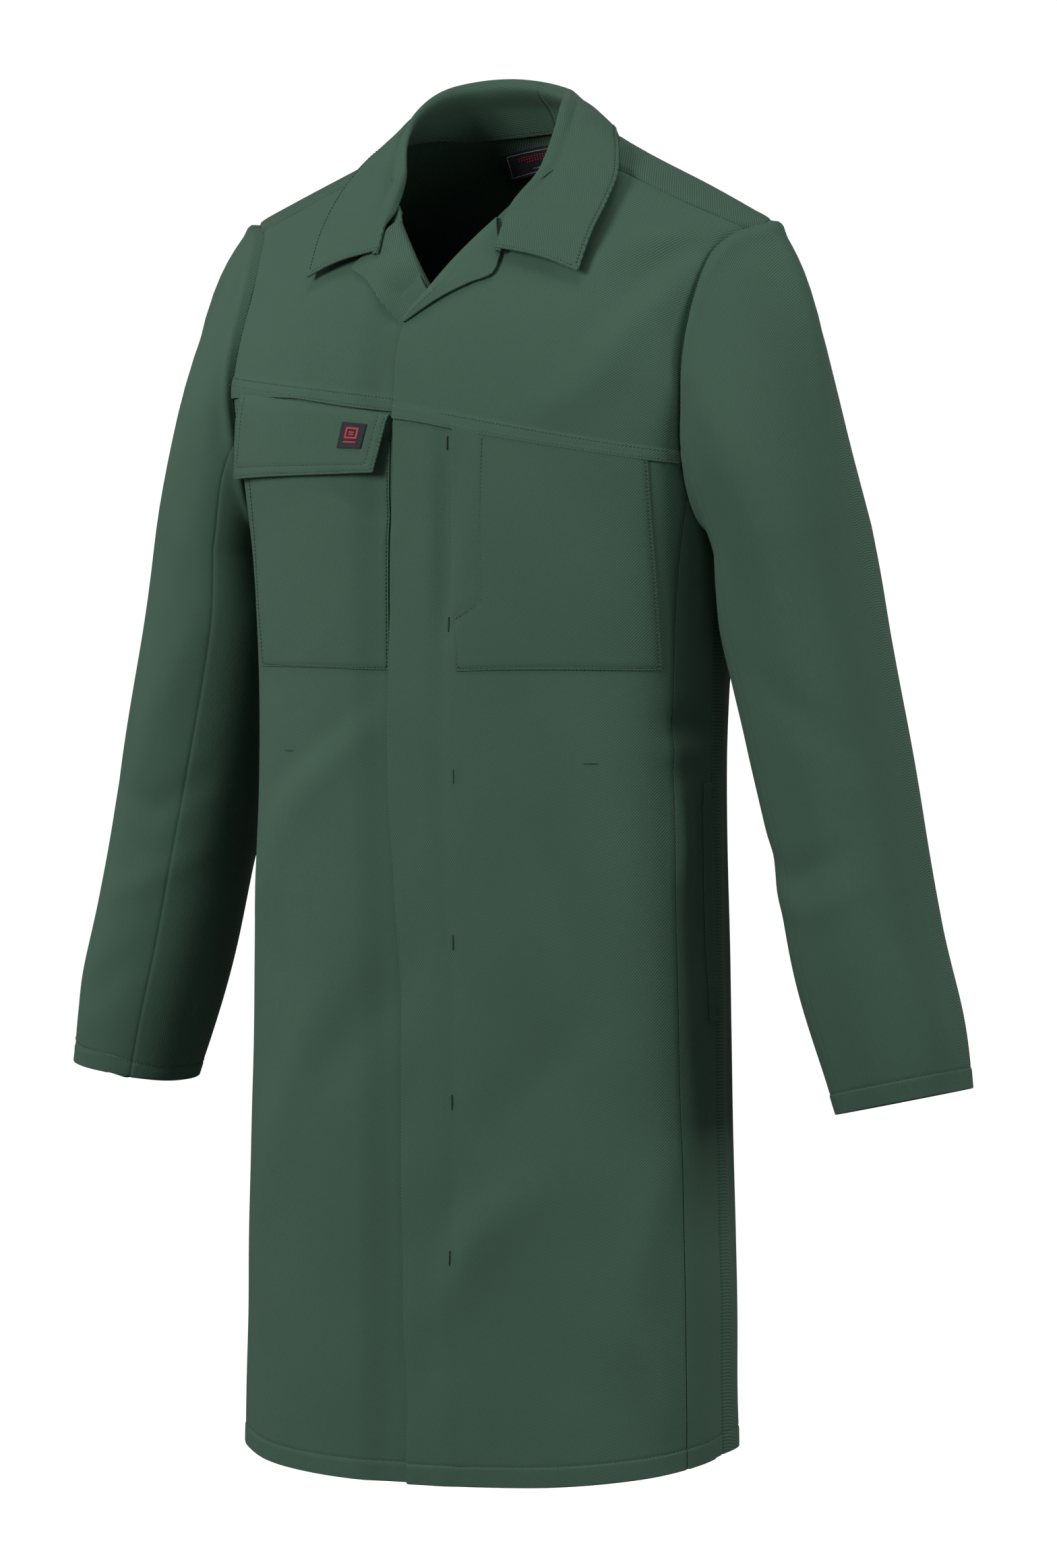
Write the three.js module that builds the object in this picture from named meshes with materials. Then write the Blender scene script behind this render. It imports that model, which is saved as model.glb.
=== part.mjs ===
// Lab coat (twill work coat), size M/L, built from its cloth pieces.
// Units are millimetres, +Z up, -Y is the front, +X is the wearer's left.
// The origin is the centre of the back neck seam, where a hanger or stand
// neck holds the coat.
import * as THREE from 'three';

// ---------------------------------------------------------------- sizes
const NECK_Y = 84.0;            // back neck seam behind the body axis
const NECK_Z = 1053.0;          // back neck seam above the hem datum
const CLOTH = 1.2;              // one made-up layer of cloth
const THIN = 1.0;               // facings, strips, pocket layers
const SHOULDER_TOP = 1081.0;    // ridge height at the axis
const SHOULDER_SLOPE = 0.418;   // fall of the shoulder, tan 22.7 deg
const RIDGE_SOFT = 50.0;
const CAP_RISE = 3.0;
const HINGE_T = 66.0;           // deg round the body: line the fronts swing on
// the swing line runs inwards near the armhole, so the fronts clear the sleeves
const hingeT = (h) => HINGE_T - 17 * smooth(610, 725, h);
const GAP = 0.5;
// half widths of the right and left side, depths and centre, against height
const W_RIGHT = [[0, 219.5], [150, 216], [300, 211], [450, 206], [600, 200], [700, 203], [800, 218], [900, 237], [1000, 247], [1081, 250]];
const W_LEFT = [[0, 213.5], [150, 211], [300, 206], [450, 202], [600, 199], [700, 202], [800, 213], [900, 228], [1000, 240], [1081, 246]];
const D_FRONT = [[0, 100], [200, 100], [400, 104], [600, 112], [720, 116], [800, 116], [860, 114], [920, 107], [970, 94], [1020, 72], [1050, 52], [1070, 30], [1081, 12]];
const D_BACK = [[0, 90], [200, 90], [400, 91], [600, 97], [720, 103], [800, 107], [860, 106], [920, 101], [970, 90], [1020, 70], [1050, 52], [1070, 32], [1081, 12]];
const Y_MID = [[0, -17], [300, -16], [600, -13], [800, -8], [920, -4], [1000, 4], [1081, 8]];
const ROUND = [[0, 2.5], [500, 2.5], [800, 2.6], [1000, 2.5], [1081, 2.4]];
const NAPE = 40.0;              // extra fullness at the back of the neck
// hem height round the body (deg, mm)
const HEM = [[-180, 34], [-135, 26], [-97, 21.5], [-75, 19.5], [-55, 17.8], [-44, 13.5], [-28, 10.9], [-16, 10.6], [2, 12.8], [25, 18], [49, 27.5], [75, 37.5], [97, 41.5], [135, 40], [180, 34]];
// left front edge (height, x)
const EDGE = [[0, -13.2], [67, -12.7], [145, -16.6], [249, -18.6], [395, -18.1], [480, -22.6], [550, -25.4], [643, -23.3], [777, -20.5], [845, -21.2], [890, -20], [914, -18.1]];
const UNDER_X = 30.0;           // right front reaches this far under the left
const UNDER_DROP = 5.4;
// armhole, front and back halves, (deg, height)
const ARM_F = [[90, 748], [80, 751], [71, 765], [65.5, 790], [61.8, 820], [57.2, 887], [54.8, 925], [53.2, 957], [52.5, 992], [52.7, 1018.6], [54.1, 1043.5], [57, 1062], [62, 1074], [68, 1081]];
const ARM_B = [[90, 748], [99, 752], [107, 768], [113, 800], [117, 850], [119.5, 900], [121.5, 950], [122.5, 985], [122.3, 1020], [121, 1045], [118.5, 1062], [115.5, 1074], [112, 1081]];
// sleeve centre line and half sizes (z, x, y, hx, hy)
const SLEEVE = [[306, 358.5, 0, 48, 50], [350, 348, 0, 52.5, 55.5], [410, 331.2, 0, 55.5, 60], [500, 310.5, 1, 56, 62], [593, 288.5, 1, 57.5, 65], [685, 266.6, 0, 59, 68], [777, 245.5, -3, 60, 73], [800, 240.5, -4, 61, 74]];
// inner half size of the sleeve, flatter where it lies against the body
const SLEEVE_IN = [[306, 48], [350, 52.5], [410, 55.5], [500, 56], [593, 57.5], [640, 57.5], [685, 55], [710, 49], [735, 42], [772, 31]];
const CUFF_Z = { left: 318, right: 306 };
const SLEEVE_START_Z = 735;
const SNAP_Z = [741, 615, 494, 369, 249];
const TACK = [[27.7, 809.5], [29.4, 672.3], [33.3, 557.3], [30.0, 430.2], [27.7, 308.3], [25.6, 188.7]];

// ---------------------------------------------------------------- maths
const rad = (d) => d * Math.PI / 180;
const clamp = (v, a, b) => Math.min(b, Math.max(a, v));
const smooth = (a, b, x) => { const t = clamp((x - a) / (b - a), 0, 1); return t * t * (3 - 2 * t); };
const lerp = (a, b, t) => a + (b - a) * t;
function table(tab) {
  const n = tab.length, m = new Array(n), dx = [], dy = [];
  for (let i = 0; i < n - 1; i++) { dx.push(tab[i + 1][0] - tab[i][0]); dy.push((tab[i + 1][1] - tab[i][1]) / dx[i]); }
  m[0] = dy[0]; m[n - 1] = dy[n - 2];
  for (let i = 1; i < n - 1; i++) m[i] = (dy[i - 1] * dx[i] + dy[i] * dx[i - 1]) / (dx[i - 1] + dx[i]);
  return (x0) => {
    const x = clamp(x0, tab[0][0], tab[n - 1][0]);
    let i = 0; while (i < n - 2 && x >= tab[i + 1][0]) i++;
    const t = (x - tab[i][0]) / dx[i], t2 = t * t, t3 = t2 * t;
    return (2 * t3 - 3 * t2 + 1) * tab[i][1] + (t3 - 2 * t2 + t) * dx[i] * m[i] + (3 * t2 - 2 * t3) * tab[i + 1][1] + (t3 - t2) * dx[i] * m[i + 1];
  };
}
const wR = table(W_RIGHT), wL = table(W_LEFT), dF = table(D_FRONT), dB = table(D_BACK);
const yMid = table(Y_MID), nRound = table(ROUND), hemAt = table(HEM), edgeX = table(EDGE);
const V = (x, y, z) => new THREE.Vector3(x, y, z);

// the body: t in radians round from the front centre, h the height of the ring
function body(t, h) {
  const n = nRound(h), s = Math.sin(t), c = Math.cos(t);
  const rho = Math.pow(Math.pow(Math.abs(s), n) + Math.pow(Math.abs(c), n), -1 / n);
  const w = s >= 0 ? wL(h) : wR(h), d = c >= 0 ? dF(h) : dB(h);
  const x = w * rho * s;
  let y = yMid(h) - d * rho * c;
  y += NAPE * smooth(960, 1075, h) * Math.exp(-((x / 75) ** 2)) * smooth(0, 0.35, -c);
  const fall = SHOULDER_SLOPE * smooth(700, SHOULDER_TOP, h);
  // the left shoulder sits a little lower towards its end
  const low = 9.5 * smooth(1020, SHOULDER_TOP, h) * clamp((x - 95) / 125, 0, 1);
  return V(x, y, h - low - fall * (Math.sqrt(x * x + RIDGE_SOFT * RIDGE_SOFT) - RIDGE_SOFT * 0.25));
}
const CAP = 24;
// over the shoulder ridge; t is a front angle, k goes 0 front to 1 back
function ridge(t, k) {
  const a = body(t, SHOULDER_TOP), b = body(Math.sign(t) * Math.PI - t, SHOULDER_TOP);
  return a.lerp(b, k).add(V(0, 0, CAP_RISE * 4 * k * (1 - k)));
}
// back chart that runs on over the ridge to the front shoulder seam
function backBody(t, h) {
  if (h <= SHOULDER_TOP) return body(t, h);
  const tf = Math.sign(t) * Math.PI - t;
  if (h <= SHOULDER_TOP + CAP) return ridge(tf, 1 - (h - SHOULDER_TOP) / CAP);
  return body(tf, SHOULDER_TOP - (h - SHOULDER_TOP - CAP));
}
function tOfX(x, h) {
  const n = nRound(h), w = x >= 0 ? wL(h) : wR(h), X = clamp(Math.abs(x) / w, 0, 1);
  return Math.sign(x) * Math.atan2(X, Math.pow(1 - Math.pow(X, n), 1 / n));
}
function hOfZ(t, z) { let h = z; for (let k = 0; k < 25; k++) h += z - body(t, h).z; return h; }

// a chain of points, evenly re-read by its length; corners stay where asked
function chain(points, u) {
  const d = [0];
  for (let i = 1; i < points.length; i++) {
    let s = 0; for (let k = 0; k < points[0].length; k++) s += (points[i][k] - points[i - 1][k]) ** 2;
    d.push(d[i - 1] + Math.sqrt(s));
  }
  const L = d[d.length - 1];
  return points[0].map((_, k) => table(points.map((p, i) => [d[i] / L, p[k]]))(u));
}
// four-sided patch between chains of (t in deg / 3 , h in mm / 10)-like pairs
function coons(bottom, top, left, right, ni, nj, us, vs) {
  const B = (u) => chain(bottom, u), T = (u) => chain(top, u), L = (v) => chain(left, v), R = (v) => chain(right, v);
  const out = [];
  for (let i = 0; i <= ni; i++) {
    const v = vs ? vs[i] : i / ni, row = [];
    for (let j = 0; j <= nj; j++) {
      const u = us ? us[j] : j / nj;
      const b = B(u), t = T(u), l = L(v), r = R(v), b0 = B(0), b1 = B(1), t0 = T(0), t1 = T(1);
      row.push([0, 1].map((k) => (1 - v) * b[k] + v * t[k] + (1 - u) * l[k] + u * r[k]
        - ((1 - u) * (1 - v) * b0[k] + u * (1 - v) * b1[k] + (1 - u) * v * t0[k] + u * v * t1[k])));
    }
    out.push(row);
  }
  return out;
}

// ---------------------------------------------------------------- solids
const group = new THREE.Group();
group.position.set(0, -NECK_Y, -NECK_Z);
const GREEN = 0x48604f, GREEN_IN = 0x3a4f42;
function addMesh(name, pos, tri, color, rough = 0.85, metal = 0) {
  const g = new THREE.BufferGeometry();
  g.setAttribute('position', new THREE.BufferAttribute(new Float32Array(pos), 3));
  let vol = 0;
  for (let i = 0; i < tri.length; i += 3) {
    const [a, b, c] = [tri[i], tri[i + 1], tri[i + 2]].map((k) => V(pos[3 * k], pos[3 * k + 1], pos[3 * k + 2]));
    vol += a.dot(b.cross(c));
  }
  if (vol < 0) for (let i = 0; i < tri.length; i += 3) [tri[i + 1], tri[i + 2]] = [tri[i + 2], tri[i + 1]];
  g.setIndex(tri);
  g.computeVertexNormals();
  const m = new THREE.Mesh(g, new THREE.MeshStandardMaterial({ color, roughness: rough, metalness: metal }));
  m.name = name;
  group.add(m);
  return m;
}
function normals(G) {
  const ni = G.length, nj = G[0].length;
  return G.map((row, i) => row.map((p, j) => {
    const a = G[Math.min(ni - 1, i + 1)][j].clone().sub(G[Math.max(0, i - 1)][j]);
    const b = row[Math.min(nj - 1, j + 1)].clone().sub(row[Math.max(0, j - 1)]);
    return a.cross(b).normalize();
  }));
}
// a cloth sheet: grid of points, offset (number or function), thickness
function sheet(name, G, { off = 0, th = CLOTH, color = GREEN, flip = null } = {}) {
  const N = normals(G), ni = G.length, nj = G[0].length;
  const c = G[Math.floor(ni / 2)][Math.floor(nj / 2)], n = N[Math.floor(ni / 2)][Math.floor(nj / 2)];
  const axis = flip || V(0, -10, c.z);
  const sgn = n.dot(c.clone().sub(axis)) < 0 ? -1 : 1;
  const pos = [];
  for (const side of [1, -1]) {
    for (let i = 0; i < ni; i++) for (let j = 0; j < nj; j++) {
      const o = (typeof off === 'function' ? off(i, j, G[i][j]) : off) + side * th / 2;
      const p = G[i][j].clone().addScaledVector(N[i][j], sgn * o);
      pos.push(p.x, p.y, p.z);
    }
  }
  const id = (s, i, j) => s * ni * nj + i * nj + j, tri = [];
  for (let i = 0; i < ni - 1; i++) for (let j = 0; j < nj - 1; j++) {
    tri.push(id(0, i, j), id(0, i + 1, j), id(0, i + 1, j + 1), id(0, i, j), id(0, i + 1, j + 1), id(0, i, j + 1));
    tri.push(id(1, i, j), id(1, i + 1, j + 1), id(1, i + 1, j), id(1, i, j), id(1, i, j + 1), id(1, i + 1, j + 1));
  }
  const rim = [];
  for (let j = 0; j < nj - 1; j++) rim.push([0, j, 0, j + 1]);
  for (let i = 0; i < ni - 1; i++) rim.push([i, nj - 1, i + 1, nj - 1]);
  for (let j = nj - 1; j > 0; j--) rim.push([ni - 1, j, ni - 1, j - 1]);
  for (let i = ni - 1; i > 0; i--) rim.push([i, 0, i - 1, 0]);
  for (const [a, b, c2, d] of rim) {
    tri.push(id(0, a, b), id(0, c2, d), id(1, c2, d), id(0, a, b), id(1, c2, d), id(1, a, b));
  }
  return addMesh(name, pos, tri, color);
}
const grid = (rows, cols, f) => rows.map((r) => cols.map((c) => f(r, c)));
const range = (n) => Array.from({ length: n + 1 }, (_, k) => k / n);

// yoke seams: height of the seam line against x
const yokeL = (x) => 828.6 + (x + 20.8) * (794.1 - 828.6) / (199.9 + 20.8);
const yokeR = (x) => 833.2 + (-x - 21.6) * (853.9 - 833.2) / (198 - 21.6);
function yokeH(side, t) {
  let h = 830;
  for (let k = 0; k < 30; k++) { const p = body(t, h); h += (side > 0 ? yokeL(p.x) : yokeR(p.x)) - p.z; }
  return h;
}
const armLow = table([[90, 748], [80, 751], [71, 765], [65.5, 790], [61.8, 820], [57.2, 887]].map(([a, b]) => [a, b]).reverse());
const topH = (side, t) => {
  const d = Math.abs(t) * 180 / Math.PI;
  const y = yokeH(side, t);
  return d > 57.2 ? Math.min(y, armLow(d)) : y;
};
const hem = (t) => hemAt(t * 180 / Math.PI);
const underDrop = (x) => -UNDER_DROP * smooth(-62, -30, x);

// ---- front panels below the yoke (they swing)
const FRONT_ROWS = [0, 0.12, 0.25, 0.38, 0.5, 0.62, 0.72, 0.78, 0.81, 0.84, 0.87, 0.9, 0.93, 0.96, 1];
const TL = [5, 12, 20, 28, 36, 43, 49, 55, 60.5, HINGE_T];
{
  const rows = FRONT_ROWS;
  const cols = [null, ...TL];
  const G = grid(rows, cols, (r, c) => {
    let t = c === null ? 0 : rad(c), h = 0;
    for (let k = 0; k < 4; k++) {
      if (c === null) t = tOfX(edgeX(h || 400), h || 400);
      else if (c > 20) t = rad(20 + (c - 20) * (hingeT(h || 400) - 20) / (HINGE_T - 20));
      h = lerp(hem(t), topH(1, t) - GAP, r);
    }
    return body(t, h);
  });
  sheet('front_panel_left', G, {});
}
{
  const rows = FRONT_ROWS;
  const cols = [UNDER_X, 0, -28, -46, -64, ...[-25, -33, -41, -47, -52, -57, -61.5, -HINGE_T].map((d) => [d])];
  const G = grid(rows, cols, (r, c) => {
    let t = Array.isArray(c) ? rad(c[0]) : 0, h = 0;
    for (let k = 0; k < 4; k++) {
      if (!Array.isArray(c)) t = tOfX(c, h || 400);
      else if (c[0] < -25) t = -rad(25 + (-c[0] - 25) * (hingeT(h || 400) - 25) / (HINGE_T - 25));
      const under = !Array.isArray(c) && c >= 0; // the part behind the left front stops below its yoke seam
      h = lerp(hem(t), (under ? yokeH(1, t) - 4 : topH(-1, t)) - GAP, r);
    }
    return body(t, h);
  });
  sheet('front_panel_right', G, { off: (i, j, p) => underDrop(p.x) });
}
// ---- the strips between the swing line and the side seam (they stay)
for (const [name, s] of [['front_side_left', 1], ['front_side_right', -1]]) {
  const G = grid(FRONT_ROWS, [66, 69, 72, 78, 84, 89.65], (r, c) => {
    let t = s * rad(c), h = 0;
    for (let k = 0; k < 4; k++) {
      const a = hingeT(h || 400) + 1.1, d = a + (89.65 - a) * (c - 66) / 23.65;
      t = s * rad(d);
      h = lerp(hem(t), topH(s, t) - (d > 57.2 ? 2.6 : GAP), r);
    }
    return body(t, h);
  });
  sheet(name, G, {});
}
// ---- front yokes, from the yoke seam to the shoulder seam
const pair = ([t, h]) => [t * 4, h];
{
  const e0 = body(tOfX(edgeX(834), 834), 834);
  const tE = (h) => tOfX(edgeX(h), h) * 180 / Math.PI;
  const bottom = [[tE(834), yokeH(1, rad(tE(834)))], [12, yokeH(1, rad(12))], [28, yokeH(1, rad(28))], [43, yokeH(1, rad(43))], [55, yokeH(1, rad(55))], [61.5, yokeH(1, rad(61.5))]].map(([t, h]) => [t, h + GAP]);
  const left = [bottom[0], [tE(870), 870], [-4.6, 905], [-3.6, 915], [0.2, 935], [4.2, 960], [8.2, 984], [12.3, 1006]];
  const right = [bottom[5], [57.0, 887], [54.5, 925], [52.9, 957], [52.2, 992], [52.4, 1018.6], [53.8, 1043.5], [56.7, 1062], [60.8, 1069.6]];
  const top = [[12.3, 1006], [14, 1022], [17, 1044], [21, 1060], [25, 1066.8], [33, 1067.4], [43, 1066.5], [52, 1068.5], [60.8, 1069.6]];
  const C = coons(bottom.map(pair), top.map(pair), left.map(pair), right.map(pair), 12, 10);
  sheet('front_yoke_left', C.map((row) => row.map(([t, h]) => body(rad(t / 4), h))), {});
}
{
  const tU = tOfX(UNDER_X, 834) * 180 / Math.PI;
  const yk = (d) => yokeH(-1, rad(d)) + GAP;
  const bottom = [[tU, 833.6 + 5], [0, 833.4 + 4], [-12, yk(-12)], [-28, yk(-28)], [-43, yk(-43)], [-52, yk(-52)], [-55.9, yk(-55.9)]];
  const left = [bottom[0], [8.6, 870], [7.5, 900], [3.5, 922], [-0.6, 936], [-4.4, 960], [-8.4, 984], [-11.4, 1010]];
  const right = [bottom[6], [-54.1, 925], [-52.9, 957], [-52.2, 992], [-52.4, 1018.6], [-53.8, 1043.5], [-56.7, 1062], [-60.8, 1069.6]];
  const top = [[-11.4, 1010], [-14, 1026], [-17, 1045], [-21, 1060], [-25, 1066.8], [-33, 1067.4], [-43, 1066.5], [-52, 1068.5], [-60.8, 1069.6]];
  const C = coons(bottom.map(pair), top.map(pair), left.map(pair), right.map(pair), 12, 10);
  sheet('front_yoke_right', C.map((row) => row.map(([t, h]) => body(rad(t / 4), h))),
    { off: (i, j, p) => underDrop(p.x) * (1 - smooth(905, 945, p.z)) });
}
// ---- backs, from the centre seam to the side seam and over the shoulder
const NECK_BACK = [[179.85, 1069], [172, 1070.5], [165, 1076], [160.5, 1086], [157, 1100], [155, 1116.5]];
for (const [name, s] of [['back_left', 1], ['back_right', -1]]) {
  const bottom = [179.85, 165, 150, 135, 120, 105, 90.35].map((d) => [d, hem(s * rad(d))]);
  const left = [[179.85, bottom[0][1]], [179.85, 300], [179.85, 600], [179.85, 900], [179.85, 1069]];
  const right = [[90.35, bottom[6][1]], [90.35, 300], [90.35, 550], [90.35, 690], [90.35, 735], [90.6, 747], [93, 748.5], [99.3, 752], [107.4, 767.5], [113.4, 800], [117.4, 850], [119.9, 900], [121.9, 950], [122.9, 985], [122.7, 1020], [121.4, 1045], [118.9, 1062], [115.9, 1074], [112.4, 1081], [113.5, 1093], [115, 1105], [119.0, 1113.6]];
  const top = [...NECK_BACK, [150, 1117.0], [140, 1117.6], [130, 1116.0], [119.0, 1113.6]];
  const scale = ([t, h]) => [t * 3, h];
  const us = [0, 0.16, 0.33, 0.45, 0.55, 0.65, 0.75, 0.85, 0.93, 1];
  const vs = [0, 0.1, 0.2, 0.3, 0.4, 0.5, 0.58, 0.66, 0.74, 0.81, 0.87, 0.91, 0.945, 0.97, 0.985, 1];
  const C = coons(bottom.map(scale), top.map(scale), left.map(scale), right.map(scale), vs.length - 1, us.length - 1, us, vs);
  const G = C.map((row) => row.map(([t, h]) => backBody(s * rad(t / 3), h)));
  sheet(name, G, { flip: V(0, 0, 700) });
}

// ---- sleeves
function armholeRing(sd) {
  const m1 = (p) => V(p.x * sd, p.y, p.z);
  const F = [], B = [];
  for (let k = 0; k <= 40; k++) {
    const f = chain(ARM_F.map(([t, h]) => [t / 0.3, h]), k / 40), b = chain(ARM_B.map(([t, h]) => [t / 0.3, h]), k / 40);
    F.push(m1(body(sd * rad(f[0] * 0.3), f[1]))); B.push(m1(body(sd * rad(b[0] * 0.3), b[1])));
  }
  const top = [0.25, 0.5, 0.75].map((k) => m1(ridge(sd * rad(68), k)));
  const ring = [...F, ...top, ...B.reverse()], d = [0];
  for (let i = 1; i < ring.length; i++) d.push(d[i - 1] + ring[i].distanceTo(ring[i - 1]));
  const m = F.length + 1, u = d.map((v, i) => i <= m ? v / d[m] * 0.5 : 0.5 + (v - d[m]) / (d[d.length - 1] - d[m]) * 0.5);
  return (q0) => {
    const q = ((q0 % 1) + 1) % 1; let i = 0; while (i < u.length - 2 && q >= u[i + 1]) i++;
    return ring[i].clone().lerp(ring[i + 1], (q - u[i]) / (u[i + 1] - u[i]));
  };
}
const armRing = { 1: armholeRing(1), '-1': armholeRing(-1) };
const sx = table(SLEEVE.map((r) => [r[0], r[1]])), sy = table(SLEEVE.map((r) => [r[0], r[2]]));
const sin_ = table(SLEEVE_IN);
const shx = table(SLEEVE.map((r) => [r[0], r[3]])), shy = table(SLEEVE.map((r) => [r[0], r[4]]));
function sleevePoint(psi, z, z0) {
  const e = 1, c = V(sx(z), sy(z), z);
  const t = V(sx(z - e) - sx(z + e), sy(z - e) - sy(z + e), -2 * e).normalize();
  const e1 = t.clone().cross(V(0, -1, 0)).normalize(); if (e1.x > 0) e1.negate();
  const e2 = t.clone().cross(e1); if (e2.y > 0) e2.negate();
  const C = Math.cos(psi), S = Math.sin(psi), n = C > 0 ? lerp(2.25, 2.8, smooth(600, 735, z)) : 2.25, rho = Math.pow(Math.pow(Math.abs(C), n) + Math.pow(Math.abs(S), n), -1 / n);
  return { p: c.addScaledVector(e1, rho * C * (C > 0 ? sin_(z) : shx(z))).addScaledVector(e2, rho * S * shy(z)), t };
}
function sleeve(side, psis, start) {
  const z1 = side > 0 ? CUFF_Z.left : CUFF_Z.right, G = [];
  const cap = [0, 0.14, 0.3, 0.48, 0.66, 0.84];
  const bulge = side > 0 ? 2 : 9;
  for (const s00 of cap) {
    G.push(psis.map((psi) => {
      const A = armRing[side](psi / (2 * Math.PI)), { p: R0, t: T1 } = sleevePoint(psi, SLEEVE_START_Z);
      const u = (1 - Math.cos(psi)) / 2, L = R0.distanceTo(A) * 1.05;
      const T0 = V(0.30 + 0.38 * u, -0.30 * Math.sin(psi), -0.95 + 0.20 * u).normalize();
      const s0 = clamp(start / L, 0.01, 0.35), s = s0 + (1 - s0) * s00;
      const s2 = s * s, s3 = s2 * s;
      const q = A.multiplyScalar(2 * s3 - 3 * s2 + 1).addScaledVector(T0, (s3 - 2 * s2 + s) * L).addScaledVector(R0, 3 * s2 - 2 * s3).addScaledVector(T1, (s3 - s2) * L);
      q.x += bulge * u * Math.sin(Math.PI * s) ** 1.0;
      return q;
    }));
  }
  const zs = range(8).map((k) => lerp(SLEEVE_START_Z, z1, k));
  for (const z of zs) G.push(psis.map((psi) => sleevePoint(psi, z, 0).p));
  return side > 0 ? G : G.map((row) => row.map((p) => V(-p.x, p.y, p.z)));
}
for (const [sd, s] of [['left', 1], ['right', -1]]) {
  const mid = V(s * 285, 0, 600);
  const up = range(14).map((k) => lerp(rad(58.5), rad(301.5), k)), un = range(7).map((k) => lerp(rad(-57.7), rad(57.7), k));
  sheet(`sleeve_upper_${sd}`, sleeve(s, up, 3.2), { flip: mid });
  sheet(`sleeve_under_${sd}`, sleeve(s, un, 3.2), { flip: mid });
}

// ---- collar: stand and fall
const FOLD_R = [[-58, -73, 993], [-66, -47, 1018], [-72, -33, 1045], [-73, -14, 1066], [-66, 12, 1083], [-49, 36, 1091], [-26, 49, 1093]];
const FOLD_L = [[25, 47, 1084], [45, 19, 1078], [60, -8, 1069], [69, -30, 1049], [65, -47, 1018], [58, -73, 993]];
const OUT_R = [[-123.5, -91.5, 939], [-125, -75, 969], [-124, -54, 997], [-118, -33, 1021], [-108, -12, 1040], [-99, 14, 1048], [-90, 46, 1043], [-74, 76, 1034], [-42, 98, 1030]];
const OUT_L = [[45, 94, 1031], [64, 66, 1042], [79, 34, 1052], [98, 4, 1049], [116, -22, 1031], [126, -40, 1013], [128, -60, 990], [126, -75, 970], [123.5, -91.5, 939]];
const INN_R = [[-54, -99, 957], [-56, -86, 980]];
const foldCurve = [...FOLD_R, [0, 53, 1090], ...FOLD_L];
const outCurve = [...OUT_R, [0, 105, 1030], ...OUT_L].reverse();
const innCurve = [...INN_R, ...foldCurve, ...INN_R.slice().reverse().map(([x, y, z]) => [-x, y, z])].reverse();
{
  const G = [];
  for (const v of range(5)) {
    G.push(range(28).map((u) => {
      const a = V(...chain(innCurve, u)), b = V(...chain(outCurve, u));
      const k = Math.sin(Math.PI * clamp((u - 0.08) / 0.84, 0, 1));
      const dir = b.clone().sub(a); dir.z = 0; dir.normalize();
      const mid = a.clone().lerp(b, 0.42).add(V(0, 0, 6 + 9 * k)).addScaledVector(dir, 2 + 3 * k);
      return a.clone().multiplyScalar((1 - v) ** 2).addScaledVector(mid, 2 * v * (1 - v)).addScaledVector(b, v * v);
    }));
  }
  sheet('collar_fall', G, { th: 1.6, flip: V(0, 20, 900) });
}
{
  const neckHalf = [];
  for (const [t, h] of [[19.5, 1052], [21.5, 1060], [24, 1066]]) neckHalf.push(body(rad(t), h));
  for (const [t, h] of NECK_BACK.slice(0, 6).reverse().slice(1)) neckHalf.push(backBody(rad(t), h));
  const half = neckHalf.map((p) => [p.x - 1.5 * Math.sign(p.x), p.y - (p.y > 30 ? 2.5 : 0), p.z + 2.5]);
  half[half.length - 1][0] = 0;
  const foot = [...half, ...half.slice(0, -1).reverse().map(([x, y, z]) => [-x, y, z])];
  const topC = [[-70, -31, 1037], [-69, -14, 1061], [-62, 12, 1078], [-46, 34.5, 1086], [-24.5, 47, 1088], [0, 51, 1085], [23.5, 45, 1079], [42, 17.5, 1073], [56, -8.5, 1064], [64.5, -29, 1044]].reverse();
  const G = [];
  for (const v of range(2)) G.push(range(22).map((u) => V(...chain(foot, u)).lerp(V(...chain(topC, u)), v)));
  sheet('collar_stand', G, { th: 1.4, flip: V(0, 10, 1060), color: GREEN_IN });
}
// ---- lapels, turned out over the yokes
function lapel(name, inner, outer) {
  const G = [];
  for (const v of range(3)) {
    G.push(range(8).map((u) => {
      const a = chain(inner.map(pair), u), b = chain(outer.map(pair), u);
      return body(rad(lerp(a[0], b[0], v) / 4), lerp(a[1], b[1], v));
    }));
  }
  sheet(name, G, { off: (i) => 2.6 + 0.7 * i, th: 1.4 });
}
lapel('lapel_left', [[1.2, 936.5], [5.4, 962], [9.0, 984], [12.6, 1003]], [[2.2, 934.5], [7.9, 947.3], [13.6, 965.5], [12.9, 976.3]]);
lapel('lapel_right', [[-5.8, 925], [-5.6, 960], [-9.0, 984], [-11.4, 1003]], [[-6.4, 917], [-10.2, 936.7], [-16.8, 965.1], [-14.6, 973.8]]);

// ---- chest pockets
{
  const cols = [35.5, [20], [28], [36], [43], [49], [55], 182];
  const G = grid([638.5, 680, 720, 760, 795], cols, (z, c) => {
    const t = Array.isArray(c) ? rad(c[0]) : tOfX(c, z);
    return body(t, hOfZ(t, z));
  });
  G[4] = G[4].map((p) => { const t = tOfX(p.x, 812), h = yokeH(1, t) - 1.5; return body(t, h); });
  sheet('chest_pocket_left', G, { off: (i, j) => [2.35, 2.35, 2.35, 2.35, 2.35, 2.5, 2.9, 3.5][j], th: THIN });
}
{
  const cols = [[-54], [-52], [-47], [-41], [-33], [-25], -64, -46, -29];
  const G = grid([636.5, 680, 720, 760, 800], cols, (z, c) => {
    const t = Array.isArray(c) ? rad(c[0]) : tOfX(c, z);
    return body(t, hOfZ(t, z));
  });
  sheet('chest_pocket_right', G, { off: (i, j, p) => 1.95 + underDrop(p.x), th: THIN });
}
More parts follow.
